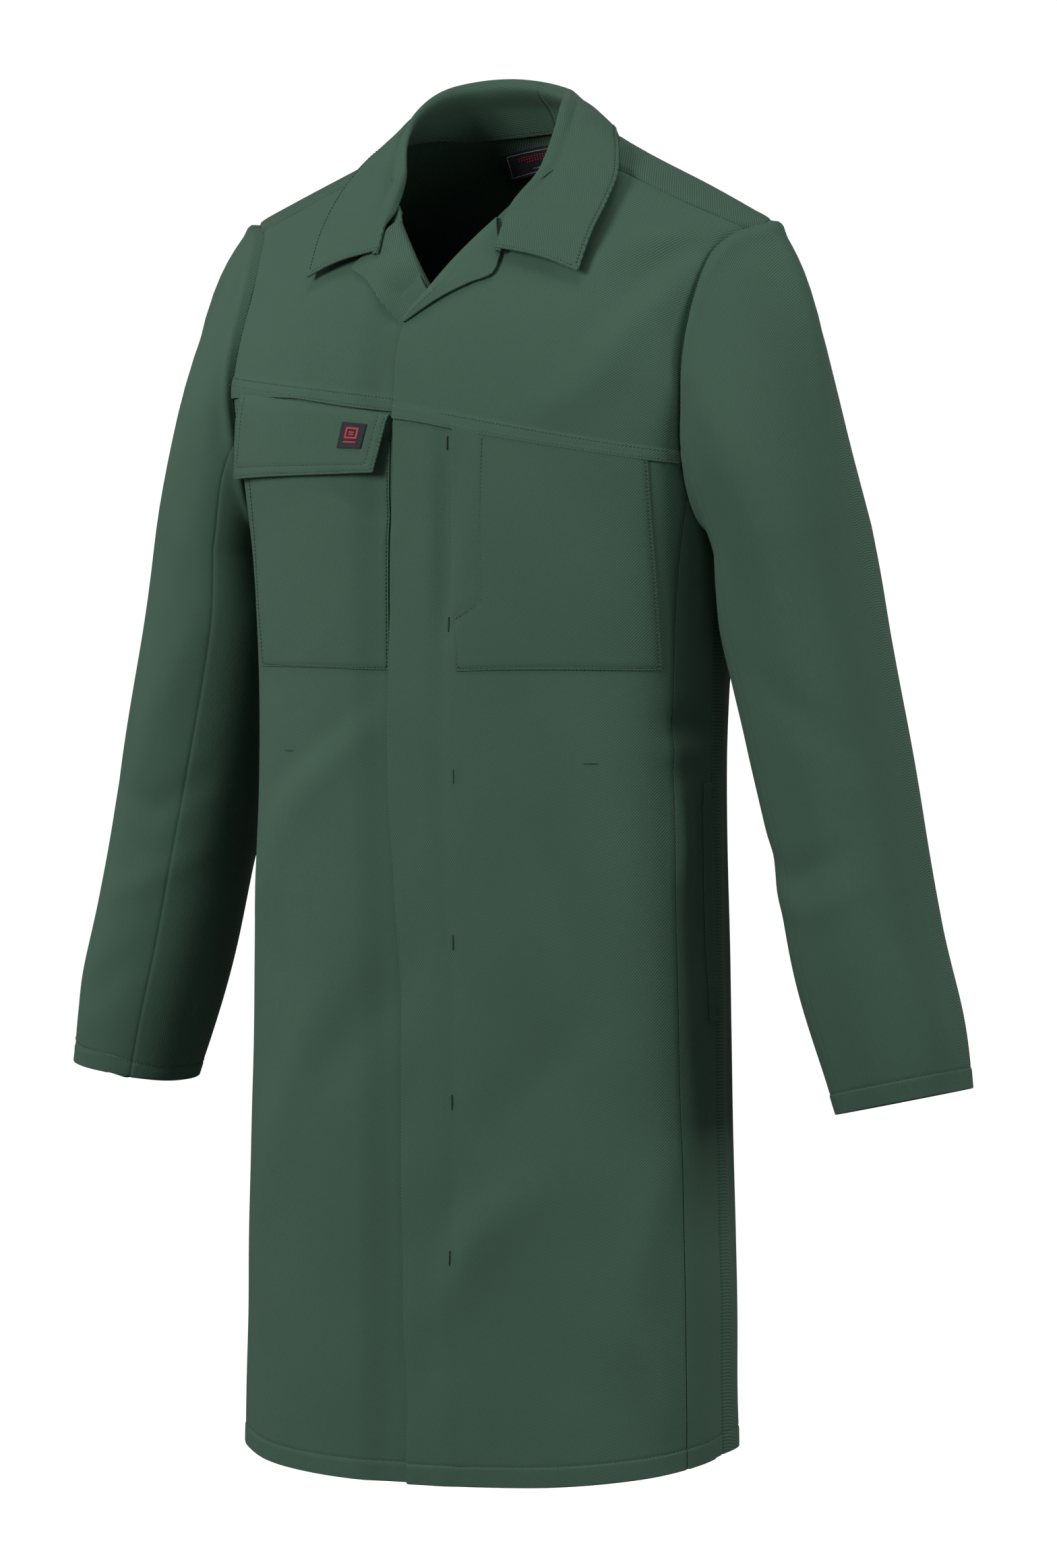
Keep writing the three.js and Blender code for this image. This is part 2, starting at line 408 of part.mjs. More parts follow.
// ---- flap of the right pocket and its woven patch
const flapPt = (u, v) => {     // u 0 outer .. 1 inner, v 0 top .. 1 bottom
  const x = lerp(lerp(-189, -27, u), lerp(-197, -35.5, u), v);
  const z = lerp(lerp(848.5, 830.5, u), lerp(783.5, 787.5, u), v);
  const t = tOfX(x, z + 8); return body(t, hOfZ(t, z));
};
const flapOff = (x, v) => 3.4 + 5.6 * v;
{
  const G = range(4).map((v) => [0, 0.06, 0.14, 0.25, 0.38, 0.52, 0.66, 0.78, 0.9, 1].map((u) => flapPt(u, v)));
  sheet('pocket_flap', G, { off: (i, j, p) => flapOff(p.x, i / 4), th: 1.4 });
  const P = [0.22, 0.42, 0.60].map((v) => [0.765, 0.835, 0.905].map((u) => flapPt(u, v)));
  sheet('flap_patch', P, { off: (i) => flapOff(0, [0.22, 0.42, 0.60][i]) + 1.5, th: 0.6, color: 0x2b2d33 });
}
// ---- fly strip (left) and facing (right) behind the closing edges
{
  const G = grid(range(12).map((k) => lerp(100, 822, k)), [-21, 0, 25.5], (z, x) => {
    const xx = x < -1 ? Math.max(edgeX(z) + 1.5, -24) : x; const t = tOfX(xx, z); return body(t, hOfZ(t, z));
  });
  sheet('fly_strip', G, { off: -1.65, th: THIN, color: GREEN_IN });
}
{
  const G = grid(range(12), [-20, 0, 29], (k, x) => { const z = lerp(24, yokeL(x) - 4.5, k), t = tOfX(x, z); return body(t, hOfZ(t, z)); });
  sheet('underlap_facing', G, { off: -UNDER_DROP - 1.8, th: THIN, color: GREEN_IN });
}
// ---- side pockets: welts at the side seams and bags inside
for (const [sd, s] of [['left', 1], ['right', -1]]) {
  const G = grid(range(4).map((k) => lerp(372, 552, k)), [82.5, 84, 89.4], (z, c) => body(s * rad(c), z));
  sheet(`side_welt_${sd}`, G, { off: 1.6, th: THIN });
  const cols = s > 0 ? [41, 43, 49, 55, 60.5, 64.5] : [-39, -41, -47, -52, -57, -61.5, -64.5];
  const B = grid(range(4).map((k) => lerp(330, 562, k)), cols, (z, c) => body(rad(c), z));
  sheet(`pocket_bag_${sd}`, B, { off: -1.95, th: THIN, color: GREEN_IN });
}
// ---- neck label, sewn inside the back below the neck seam
{
  const G = grid([1043, 1055, 1066], [-52, -26, 0, 21, 42], (h, x) => {
    const t = Math.PI - tOfX(x, h) * 1; const p = body(t, h); return V(p.x, p.y, p.z);
  });
  sheet('neck_label', G, { off: -7.5, th: 0.7, flip: V(0, 0, 1040), color: 0x23242a });
}
// ---- snap fasteners: a socket on the left, a stud on the right
function disc(name, x, z, off, r, th, color, metal) {
  const t = tOfX(x, z), h = hOfZ(t, z), p = body(t, h);
  const g = new THREE.CylinderGeometry(r, r, th, 14, 1);
  const m = new THREE.Mesh(g, new THREE.MeshStandardMaterial({ color, roughness: 0.35, metalness: metal }));
  m.name = name; m.position.set(p.x, p.y - off, p.z); group.add(m);
  return m;
}
[...SNAP_Z, 868].forEach((z, k) => {
  const top = z === 868, n = top ? 'top' : String(k + 1);
  disc(`snap_socket_${n}`, 2, z, -3.05 + (top ? 0.9 : 0), 5.5, 0.8, 0x9a9c9e, 0.9);
  disc(`snap_stud_${n}`, 2, z, -4.2 + (top ? 0.6 : 0), 5.0, 0.6, 0x9a9c9e, 0.9);
});
// ---- bar tacks, on the fly line and at the pocket bags
function tack(name, x, z, len, wid, off) {
  const t = tOfX(x, z), h = hOfZ(t, z), p = body(t, h);
  const q = body(t + 0.01, h).sub(body(t - 0.01, h)).normalize();
  const g = new THREE.BoxGeometry(wid, 0.5, len);
  const m = new THREE.Mesh(g, new THREE.MeshStandardMaterial({ color: 0x2c3f34, roughness: 0.7, metalness: 0 }));
  m.name = name; m.rotation.z = Math.atan2(q.y, q.x);
  const n = V(q.y, -q.x, 0);
  m.position.set(p.x + n.x * off, p.y + n.y * off, p.z); group.add(m);
}
TACK.forEach(([x, z], k) => tack(`fly_bartack_${k + 1}`, x, z, 10.5, 1.6, 1.3));
tack('bag_bartack_left', 142.8, 569, 1.6, 9, 1.7);
tack('bag_bartack_right', -131.2, 572, 1.6, 9, 1.7);

group.updateMatrixWorld(true);
export default group;
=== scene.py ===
import bpy, math
import numpy as np
from mathutils import Vector, Matrix


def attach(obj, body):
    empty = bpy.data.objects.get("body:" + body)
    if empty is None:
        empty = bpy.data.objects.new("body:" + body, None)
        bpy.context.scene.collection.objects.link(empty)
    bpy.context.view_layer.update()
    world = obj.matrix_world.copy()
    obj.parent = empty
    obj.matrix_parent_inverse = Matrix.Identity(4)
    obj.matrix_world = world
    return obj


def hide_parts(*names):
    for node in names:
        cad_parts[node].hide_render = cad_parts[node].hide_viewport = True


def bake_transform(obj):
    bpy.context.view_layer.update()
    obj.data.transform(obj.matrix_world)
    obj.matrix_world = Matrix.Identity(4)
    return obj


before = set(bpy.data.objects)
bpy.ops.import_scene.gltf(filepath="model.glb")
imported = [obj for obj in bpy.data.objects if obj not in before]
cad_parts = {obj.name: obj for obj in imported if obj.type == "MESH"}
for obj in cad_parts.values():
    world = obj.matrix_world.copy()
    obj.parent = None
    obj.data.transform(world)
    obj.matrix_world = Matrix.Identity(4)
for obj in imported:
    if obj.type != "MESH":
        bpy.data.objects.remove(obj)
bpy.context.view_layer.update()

D = np.radians
NECK = np.array([0.0, 0.084, 1.053])      # back neck seam in the hem frame used below
RS = np.random.RandomState(7)
MM = 0.001

# ------------------------------------------------------------------ tables
def spl(tab):
    xs = np.array([a for a, _ in tab], float); ys = np.array([b for _, b in tab], float)
    m = np.zeros(len(xs)); dx = np.diff(xs); dy = np.diff(ys) / dx
    m[1:-1] = (dy[:-1] * dx[1:] + dy[1:] * dx[:-1]) / (dx[:-1] + dx[1:]); m[0] = dy[0]; m[-1] = dy[-1]
    def f(x):
        x = np.clip(np.asarray(x, float), xs[0], xs[-1]); i = np.clip(np.searchsorted(xs, x, side='right') - 1, 0, len(xs) - 2)
        t = (x - xs[i]) / dx[i]; t2 = t * t; t3 = t2 * t
        return (2*t3 - 3*t2 + 1) * ys[i] + (t3 - 2*t2 + t) * dx[i] * m[i] + (-2*t3 + 3*t2) * ys[i+1] + (t3 - t2) * dx[i] * m[i+1]
    return f
def smooth(a, b, x):
    t = np.clip((np.asarray(x, float) - a) / (b - a), 0, 1); return t * t * (3 - 2 * t)
def lerp(a, b, t): return a + (b - a) * t
def unit(v): return v / np.maximum(np.linalg.norm(v, axis=-1, keepdims=True), 1e-12)
def poly(pts, us):
    p = np.asarray(pts, float); d = np.r_[0, np.cumsum(np.linalg.norm(np.diff(p, axis=0), axis=1))]; d /= d[-1]
    return np.stack([spl(list(zip(d, p[:, k])))(us) for k in range(p.shape[1])], -1)

HT = 1.081; SL = 0.418; E0 = 0.05
wR = spl([(0,.2195),(.15,.216),(.30,.211),(.45,.206),(.60,.200),(.70,.203),(.80,.218),(.90,.237),(1.0,.247),(1.081,.250)])
wL = spl([(0,.2135),(.15,.211),(.30,.206),(.45,.202),(.60,.199),(.70,.202),(.80,.213),(.90,.228),(1.0,.240),(1.081,.246)])
dF = spl([(0,.100),(.2,.100),(.4,.104),(.6,.112),(.72,.116),(.80,.116),(.86,.114),(.92,.107),(.97,.094),(1.02,.072),(1.05,.052),(1.07,.030),(1.081,.012)])
dB = spl([(0,.090),(.2,.090),(.4,.091),(.6,.097),(.72,.103),(.80,.107),(.86,.106),(.92,.101),(.97,.090),(1.02,.070),(1.05,.052),(1.07,.032),(1.081,.012)])
yC = spl([(0,-.017),(.3,-.016),(.6,-.013),(.80,-.008),(.92,-.004),(1.0,.004),(1.081,.008)])
nX = spl([(0,2.5),(.5,2.5),(.8,2.6),(1.0,2.5),(1.081,2.4)])
edge_x = spl([(0,-.0132),(.067,-.0127),(.145,-.0166),(.249,-.0186),(.395,-.0181),(.48,-.0226),(.55,-.0254),(.643,-.0233),(.777,-.0205),(.845,-.0212),(.89,-.020),(.914,-.0181)])
HEM = spl([(-180,.034),(-135,.026),(-97,.0215),(-75,.0195),(-55,.0178),(-44,.0135),(-28,.0109),(-16,.0106),(2,.0128),(25,.018),(49,.0275),(75,.0375),(97,.0415),(135,.040),(180,.034)])
def hem(t): return HEM(np.degrees(t))

def B(t, h):
    t = np.asarray(t, float); h = np.asarray(h, float)
    n = nX(h); s = np.sin(t); c = np.cos(t)
    rho = (np.abs(s)**n + np.abs(c)**n)**(-1/n)
    x = np.where(s >= 0, wL(h), wR(h)) * rho * s
    y = yC(h) - np.where(c >= 0, dF(h), dB(h)) * rho * c
    y = y + 0.040 * smooth(.96, 1.075, h) * np.exp(-(x/.075)**2) * smooth(0, .35, -c)
    z = h - SL * smooth(.70, HT, h) * (np.sqrt(x*x + E0*E0) - E0*.25)
    z = z - .0095 * smooth(1.02, HT, h) * np.clip((x - .095)/.125, 0, 1)
    return np.stack([x, y, z], -1)
CAP = .024
def ridge(t, k):
    a = B(t, np.full_like(t, HT)); b = B(np.sign(t)*np.pi - t, np.full_like(t, HT)); k = np.asarray(k, float)[..., None]
    return a*(1-k) + b*k + np.array([0, 0, .003])*4*k*(1-k)
def back_body(t, h):
    t, h = np.broadcast_arrays(np.asarray(t, float), np.asarray(h, float))
    tf = np.sign(t)*np.pi - t
    k = np.clip((h - HT)/CAP, 0, 1)
    p0 = B(t, np.minimum(h, HT)); p1 = ridge(tf, 1-k); p2 = B(tf, np.minimum(HT, HT-(h-HT-CAP)))
    return np.where((h <= HT)[..., None], p0, np.where((h <= HT+CAP)[..., None], p1, p2))
def t_of_x(x, h):
    x = np.asarray(x, float); h = np.asarray(h, float)
    n = nX(h); w = np.where(x >= 0, wL(h), wR(h)); X = np.clip(np.abs(x)/w, 0, 1)
    return np.arctan2(X, (1-X**n)**(1/n)) * np.sign(x)
def h_of_z(t, z):
    h = np.asarray(z, float) + 0*np.asarray(t, float)
    for _ in range(25): h = h + z - B(t, h)[..., 2]
    return h
def normal(f, t, h, e=2e-4):
    a = f(t+e, h) - f(t-e, h); b = f(t, h+e) - f(t, h-e)
    return unit(np.cross(a, b))

# ------------------------------------------------------------------ folds
# soft folds: ((angle deg, height) ..., height mm, width mm)
FOLDS = [
    ([(49.1,1.008),(41.3,.956),(34.9,.876),(27.3,.848)], 3.2, 19),
    ([(52.9,1.044),(45.9,1.023),(40.0,.974),(33.8,.919)], -3.2, 13),
    ([(55.8,1.061),(42.9,1.031),(34.1,1.005),(30.3,.974)], 2.6, 14),
    ([(51.2,1.017),(51.2,.969),(54.8,.904)], -1.6, 10),
    ([(7.4,.805),(8.0,.735),(7.8,.665)], -2.4, 9),
    ([(-20.7,.789),(-7.0,.751)], -2.0, 9),
    ([(-7.5,.615),(-24.6,.567),(-42.4,.509),(-53.7,.447)], 3.0, 23),
    ([(-10.2,.618),(-27.6,.577),(-46.4,.541)], -2.0, 14),
    ([(-7.5,.401),(-28.8,.305)], -2.4, 26),
    ([(-21.9,.398),(-43.3,.266),(-47.6,.179)], 2.6, 26),
    ([(29.9,.256),(12.0,.198),(2.1,.129)], 2.8, 22),
    ([(63.3,.287),(52.1,.198),(47.4,.109)], 2.6, 19),
    ([(53.9,.139),(58.7,.055)], 2.0, 13),
    ([(63.8,.600),(86.5,.596)], -2.6, 11), ([(62.0,.580),(80.0,.574)], 2.0, 10),
    ([(69.3,.56),(71.3,.475)], 3.0, 11), ([(78.3,.54),(79.3,.40)], -2.4, 11),
    ([(41.0,.382),(22.0,.308),(12.3,.275)], -2.0, 24),
    ([(-2.0,.865),(-10.5,.914),(-27.5,.973)], 1.8, 16),
    ([(-50.3,1.012),(-33.9,.93),(-31.1,.886)], -2.0, 14),
    ([(-24.0,.879),(-30.0,.925),(-47.5,1.034)], 1.4, 12),
    ([(3.5,.091),(4.0,.169),(6.6,.248)], -1.8, 16),
    ([(30,.62),(45,.52),(50,.42)], 1.6, 22), ([(20,.56),(34,.47),(40,.36)], -1.4, 20),
    # back
    ([(150,.99),(140,.86),(138,.70)], -3.5, 20), ([(-150,.99),(-140,.87),(-138,.70)], -3.5, 20),
    ([(165,.90),(158,.60),(160,.25),(158,.05)], 3.6, 26), ([(-166,.88),(-160,.60),(-158,.30),(-160,.03)], 3.4, 26),
    ([(132,.62),(128,.35),(130,.06)], 3.8, 24), ([(-130,.60),(-126,.35),(-128,.06)], 3.6, 24),
    ([(147,.50),(144,.28),(146,.04)], -3.4, 20), ([(-146,.48),(-143,.26),(-145,.04)], -3.2, 20),
    ([(110,.64),(108,.40),(109,.08)], -2.6, 16), ([(-110,.64),(-108,.40),(-109,.08)], -2.6, 16),
    ([(176,.70),(150,.66),(125,.70)], -2.0, 14), ([(-176,.72),(-150,.68),(-125,.71)], -2.0, 14),
    ([(100,.72),(112,.66),(126,.64)], 2.2, 12), ([(-100,.72),(-112,.66),(-126,.64)], 2.2, 12),
]
def seg_field(P, segs, w, taper=True):
    """smooth bump along a polyline in space"""
    q = np.asarray(segs, float); L = np.r_[0, np.cumsum(np.linalg.norm(np.diff(q, axis=0), axis=1))]
    best = np.full(P.shape[:-1], 1e9); s = np.zeros(P.shape[:-1])
    for k in range(len(q)-1):
        d = q[k+1]-q[k]; l2 = d @ d
        u = np.clip(((P - q[k]) @ d)/l2, 0, 1)
        r = np.linalg.norm(P - (q[k] + u[..., None]*d), axis=-1)
        m = r < best; best = np.where(m, r, best); s = np.where(m, (L[k] + u*(L[k+1]-L[k]))/L[-1], s)
    a = np.exp(-(best/w)**2)
    return a * (.25 + .75*np.sin(np.pi*np.clip(s, 0, 1))**.7) if taper else a
_fold_lines = []
for pl, a, w in FOLDS:
    dense = poly(np.array([(t/300., h) for t, h in pl]), np.linspace(0, 1, 3*len(pl))) if len(pl) > 2 else np.array([(lerp(pl[0][0], pl[1][0], u)/300., lerp(pl[0][1], pl[1][1], u)) for u in np.linspace(0, 1, 6)])
    _fold_lines.append((B(D(dense[:, 0]*300), dense[:, 1]), a*MM, w*MM))
def fold(P):
    out = np.zeros(P.shape[:-1]); gain = 1.45
    lo = P.reshape(-1, 3).min(0) - .06; hi = P.reshape(-1, 3).max(0) + .06
    for q, a, w in _fold_lines:
        if (q.max(0) < lo).any() or (q.min(0) > hi).any(): continue
        out += gain*a*seg_field(P, q, w)
    x, y, z = P[..., 0], P[..., 1], P[..., 2]
    out += .0006*np.sin(31*x + 9*z + 1.0)*np.sin(17*z - 11*x + .4) + .0004*np.sin(57*z + 23*y + 2.0)*np.sin(41*x + 1.7)
    out -= .0040*smooth(.10, .17, x)*smooth(-.05, -.01, y)*smooth(1.0, .8, z)
    # hems hang in slow waves, more on the back and sides
    out += .0022*smooth(.42, .0, z)*np.sin(np.arctan2(x, -y-.015)*7 + .8)*smooth(.0, .25, np.abs(np.arctan2(x, -y-.015)))*np.where(y < -.03, .45, 1.0)
    return out

# ------------------------------------------------------------------ meshes
def new_obj(name, V, F, uv=None, mat=None, smooth_=True):
    name = name if name.startswith(("stitches", "floor")) else name + "_made"
    V = np.asarray(V, float).reshape(-1, 3) - NECK
    F = np.asarray(F, int)
    me = bpy.data.meshes.new(name)
    k = F.shape[1]
    me.vertices.add(len(V)); me.vertices.foreach_set("co", V.astype(np.float32).ravel())
    me.loops.add(F.size); me.loops.foreach_set("vertex_index", F.astype(np.int32).ravel())
    me.polygons.add(len(F)); me.polygons.foreach_set("loop_start", np.arange(0, F.size, k, dtype=np.int32)); me.polygons.foreach_set("loop_total", np.full(len(F), k, np.int32))
    me.polygons.foreach_set("use_smooth", np.full(len(F), smooth_))
    me.update(calc_edges=True)
    if uv is not None:
        a = me.attributes.new("cloth", "FLOAT_VECTOR", "POINT")
        u3 = np.zeros((len(V), 3), np.float32); u3[:, :2] = np.asarray(uv, float).reshape(-1, 2)
        a.data.foreach_set("vector", u3.ravel())
    ob = bpy.data.objects.new(name, me); bpy.context.scene.collection.objects.link(ob)
    if mat: me.materials.append(mat)
    me.validate()
    return ob

def weave_uv(G):
    du = np.linalg.norm(np.diff(G, axis=1), axis=-1); dv = np.linalg.norm(np.diff(G, axis=0), axis=-1)
    U = np.concatenate([np.zeros((G.shape[0], 1)), np.cumsum(du, 1)], 1); Vv = np.concatenate([np.zeros((1, G.shape[1])), np.cumsum(dv, 0)], 0)
    return np.stack([U, Vv], -1)
def grid_normals(G):
    a = np.gradient(G, axis=0); b = np.gradient(G, axis=1)
    return unit(np.cross(a, b))

def shell(name, G, N, off, th, mat, uv=None, round_=(1, 1, 1, 1), center=None):
    """closed sheet of cloth round a grid of points; round_ = bottom, right, top, left edges rolled"""
    ni, nj = G.shape[:2]
    off = np.broadcast_to(np.asarray(off, float), (ni, nj)); th = np.broadcast_to(np.asarray(th, float), (ni, nj))
    O = G + N*(off + th/2)[..., None]; I = G + N*(off - th/2)[..., None]
    if uv is None: uv = weave_uv(G)
    idx = np.arange(ni*nj).reshape(ni, nj)
    a, b, c, d = idx[:-1, :-1].ravel(), idx[:-1, 1:].ravel(), idx[1:, 1:].ravel(), idx[1:, :-1].ravel()
    flip = np.sum(np.cross(G[ni//2, nj//2+1]-G[ni//2, nj//2], G[ni//2+1, nj//2]-G[ni//2, nj//2])*N[ni//2, nj//2]) < 0
    outq = np.stack([a, d, c, b] if flip else [a, b, c, d], 1); inq = (np.stack([a, b, c, d] if flip else [a, d, c, b], 1)) + ni*nj
    loop = np.concatenate([idx[0, :-1], idx[:-1, -1], idx[-1, :0:-1], idx[:0:-1, 0]])
    # outward direction in the sheet at each rim point
    inner = np.concatenate([idx[1, :-1], idx[:-1, -2], idx[-2, :0:-1], idx[:0:-1, 1]])
    Gf = G.reshape(-1, 3); Nf = N.reshape(-1, 3); uvf = uv.reshape(-1, 2)
    side = np.concatenate([np.full(nj-1, 0), np.full(ni-1, 1), np.full(nj-1, 2), np.full(ni-1, 3)])
    dirn = unit(Gf[loop] - Gf[inner]); dirn = unit(dirn - np.sum(dirn*Nf[loop], -1, keepdims=True)*Nf[loop])
    thf = th.ravel()[loop]; offf = off.ravel()[loop]
    r = np.array(round_, float)[side]
    rim = []
    for ang in (math.radians(45), 0.0, math.radians(-45)):
        rim.append(Gf[loop] + Nf[loop]*(offf + math.sin(ang)*thf/2*1.0)[:, None] + dirn*(math.cos(ang)*thf/2*r)[:, None])
    V = np.concatenate([O.reshape(-1, 3), I.reshape(-1, 3)] + rim)
    UV = np.concatenate([uvf, uvf] + [uvf[loop]]*3)
    n = len(loop); base = 2*ni*nj
    rings = [loop, base+np.arange(n), base+n+np.arange(n), base+2*n+np.arange(n), loop+ni*nj]
    rq = []
    for k in range(4):
        A, Bq = rings[k], rings[k+1]
        q = np.stack([A, np.roll(A, -1), np.roll(Bq, -1), Bq], 1)
        rq.append(q if flip else q[:, ::-1])
    F = np.concatenate([outq, inq] + rq)
    return new_obj(name, V, F, UV, mat)

def pts_mm(total, fine0, fine1, step):
    """0..1 positions along a length in mm, dense at stated distances from each end"""
    a = [x for x in fine0 if x < total*.45]; b = [total-x for x in fine1 if x < total*.45]
    lo, hi = a[-1], b[-1]
    n = max(2, int(round((hi-lo)/step)))
    return np.array(a + list(np.linspace(lo, hi, n+1)[1:-1]) + b[::-1])/total
EDGE = [0, .35, .9, 1.5, 2.2, 3.2, 4.6, 6.5]
HEMF = [0, .35, .9, 2, 4, 7, 10, 12.4, 13.6, 14.3, 15, 15.7, 16.4, 17.6, 20, 24]
SEAM = [0, .5, 1.1, 1.8, 2.6, 3.6, 5, 7, 9.0, 10, 10.7, 11.4, 12.2, 13.4, 16]

def groove(d, w=.0009, a=.00045): return -a*np.exp(-(d/w)**2)

# ------------------------------------------------------------------ materials
def lin(c): return tuple(((x/255)/12.92 if x/255 <= .04045 else ((x/255+.055)/1.055)**2.4) for x in c) + (1.0,)
def twill(name, base, angle=58, period=.00155, contrast=.34, bump=.55, rough=.85, spec=.20, sheen=.05):
    m = bpy.data.materials.new(name); m.use_nodes = True; nt = m.node_tree; N_ = nt.nodes; L_ = nt.links
    bs = N_["Principled BSDF"]; bs.inputs["Roughness"].default_value = rough; bs.inputs["Specular IOR Level"].default_value = spec
    bs.inputs["Sheen Weight"].default_value = sheen; bs.inputs["Sheen Roughness"].default_value = .45
    at = N_.new("ShaderNodeAttribute"); at.attribute_name = "cloth"
    mp = N_.new("ShaderNodeMapping"); mp.inputs["Rotation"].default_value = (0, 0, math.radians(angle)); L_.new(at.outputs["Vector"], mp.inputs["Vector"])
    wv = N_.new("ShaderNodeTexWave"); wv.wave_type = "BANDS"; wv.bands_direction = "Y"; wv.inputs["Scale"].default_value = .314159/period
    wv.inputs["Distortion"].default_value = .5; wv.inputs["Detail"].default_value = 1.0; wv.inputs["Detail Scale"].default_value = .9
    L_.new(mp.outputs["Vector"], wv.inputs["Vector"])
    # short floats along each rib
    mp2 = N_.new("ShaderNodeMapping"); mp2.inputs["Rotation"].default_value = (0, 0, math.radians(angle+68)); L_.new(at.outputs["Vector"], mp2.inputs["Vector"])
    wv2 = N_.new("ShaderNodeTexWave"); wv2.wave_type = "BANDS"; wv2.bands_direction = "Y"; wv2.inputs["Scale"].default_value = .314159/(period*.62)
    wv2.inputs["Distortion"].default_value = .8; wv2.inputs["Detail"].default_value = 0.0
    L_.new(mp2.outputs["Vector"], wv2.inputs["Vector"])
    hgt = N_.new("ShaderNodeMath"); hgt.operation = "MULTIPLY_ADD"; hgt.inputs[1].default_value = .28
    L_.new(wv2.outputs["Fac"], hgt.inputs[0]); L_.new(wv.outputs["Fac"], hgt.inputs[2])
    cr = N_.new("ShaderNodeValToRGB"); cr.color_ramp.elements[0].position = .12; cr.color_ramp.elements[1].position = 1.05 if False else 1.0
    lo = tuple(base[k]*(1-contrast) for k in range(3)) + (1,); hi = tuple(base[k]*(1+contrast*.62) for k in range(3)) + (1,)
    cr.color_ramp.elements[0].color = lo; cr.color_ramp.elements[1].color = hi
    e = cr.color_ramp.elements.new(.5); e.color = tuple(base[k]*(1-contrast*.06) for k in range(3)) + (1,)
    L_.new(hgt.outputs[0], cr.inputs["Fac"])
    # slow shade change over the cloth
    tc = N_.new("ShaderNodeTexCoord")
    n1 = N_.new("ShaderNodeTexNoise"); n1.inputs["Scale"].default_value = 9; n1.inputs["Detail"].default_value = 4; L_.new(tc.outputs["Object"], n1.inputs["Vector"])
    n2 = N_.new("ShaderNodeTexNoise"); n2.inputs["Scale"].default_value = 900; n2.inputs["Detail"].default_value = 2; L_.new(tc.outputs["Object"], n2.inputs["Vector"])
    a1 = N_.new("ShaderNodeMath"); a1.operation = "MULTIPLY_ADD"; a1.inputs[1].default_value = .16; a1.inputs[2].default_value = .85; L_.new(n1.outputs["Fac"], a1.inputs[0])
    a2 = N_.new("ShaderNodeMath"); a2.operation = "MULTIPLY_ADD"; a2.inputs[1].default_value = .14; L_.new(n2.outputs["Fac"], a2.inputs[0]); L_.new(a1.outputs[0], a2.inputs[2])
    mx = N_.new("ShaderNodeVectorMath"); mx.operation = "SCALE"; L_.new(cr.outputs["Color"], mx.inputs[0]); L_.new(a2.outputs[0], mx.inputs["Scale"])
    L_.new(mx.outputs["Vector"], bs.inputs["Base Color"])
    bp = N_.new("ShaderNodeBump"); bp.inputs["Strength"].default_value = bump; bp.inputs["Distance"].default_value = .00022; L_.new(hgt.outputs[0], bp.inputs["Height"])
    L_.new(bp.outputs["Normal"], bs.inputs["Normal"])
    return m
BASE = (0.0585, 0.1165, 0.0815)
M_FRONT = twill("twill_front", BASE, angle=-52)
M_POCKET = twill("twill_pocket", tuple(.97*c for c in BASE), angle=-50)
M_COLLAR = twill("twill_collar", BASE, angle=14, period=.0015)
M_LAPEL = twill("twill_lapel", tuple(1.02*c for c in BASE), angle=10, period=.0015)
M_SLEEVE_L = twill("twill_sleeve_left", tuple(.99*c for c in BASE), angle=-38)
M_SLEEVE_R = twill("twill_sleeve_right", BASE, angle=-56)
M_BACK = twill("twill_back", tuple(.96*c for c in BASE), angle=-54)
M_LINING = twill("twill_inner", tuple(.80*c for c in BASE), angle=40, period=.0013, contrast=.22)
def thread_mat(name, base, rough=.55):
    m = bpy.data.materials.new(name); m.use_nodes = True; nt = m.node_tree; bs = nt.nodes["Principled BSDF"]
    bs.inputs["Roughness"].default_value = rough; bs.inputs["Specular IOR Level"].default_value = .35; bs.inputs["Sheen Weight"].default_value = .1
    tc = nt.nodes.new("ShaderNodeTexCoord"); n1 = nt.nodes.new("ShaderNodeTexNoise"); n1.inputs["Scale"].default_value = 2200; nt.links.new(tc.outputs["Object"], n1.inputs["Vector"])
    cr = nt.nodes.new("ShaderNodeValToRGB"); cr.color_ramp.elements[0].position = .3; cr.color_ramp.elements[1].position = .7
    cr.color_ramp.elements[0].color = tuple(.6*c for c in base)+(1,); cr.color_ramp.elements[1].color = tuple(1.35*c for c in base)+(1,)
    nt.links.new(n1.outputs["Fac"], cr.inputs["Fac"]); nt.links.new(cr.outputs["Color"], bs.inputs["Base Color"])
    bp = nt.nodes.new("ShaderNodeBump"); bp.inputs["Strength"].default_value = .5; bp.inputs["Distance"].default_value = .0001
    nt.links.new(n1.outputs["Fac"], bp.inputs["Height"]); nt.links.new(bp.outputs["Normal"], bs.inputs["Normal"])
    return m
M_THREAD = thread_mat("thread_green", (.030, .058, .040))
# lighter copy of the green thread: a painted highlight for stitches that stand up into the light, not a different
# thread colour
M_THREAD_PAINTED_HIGHLIGHT = thread_mat("thread_green_painted_highlight", (.040, .074, .052))
M_WHITE = thread_mat("thread_white", (.55, .55, .55)); M_RED = thread_mat("thread_red", (.42, .018, .035))
def label_mat():
    m = twill("label_tape", (.016, .017, .024), angle=35, period=.0009, contrast=.5, bump=.5, rough=.6, sheen=.25)
    return m
M_LABEL = label_mat()
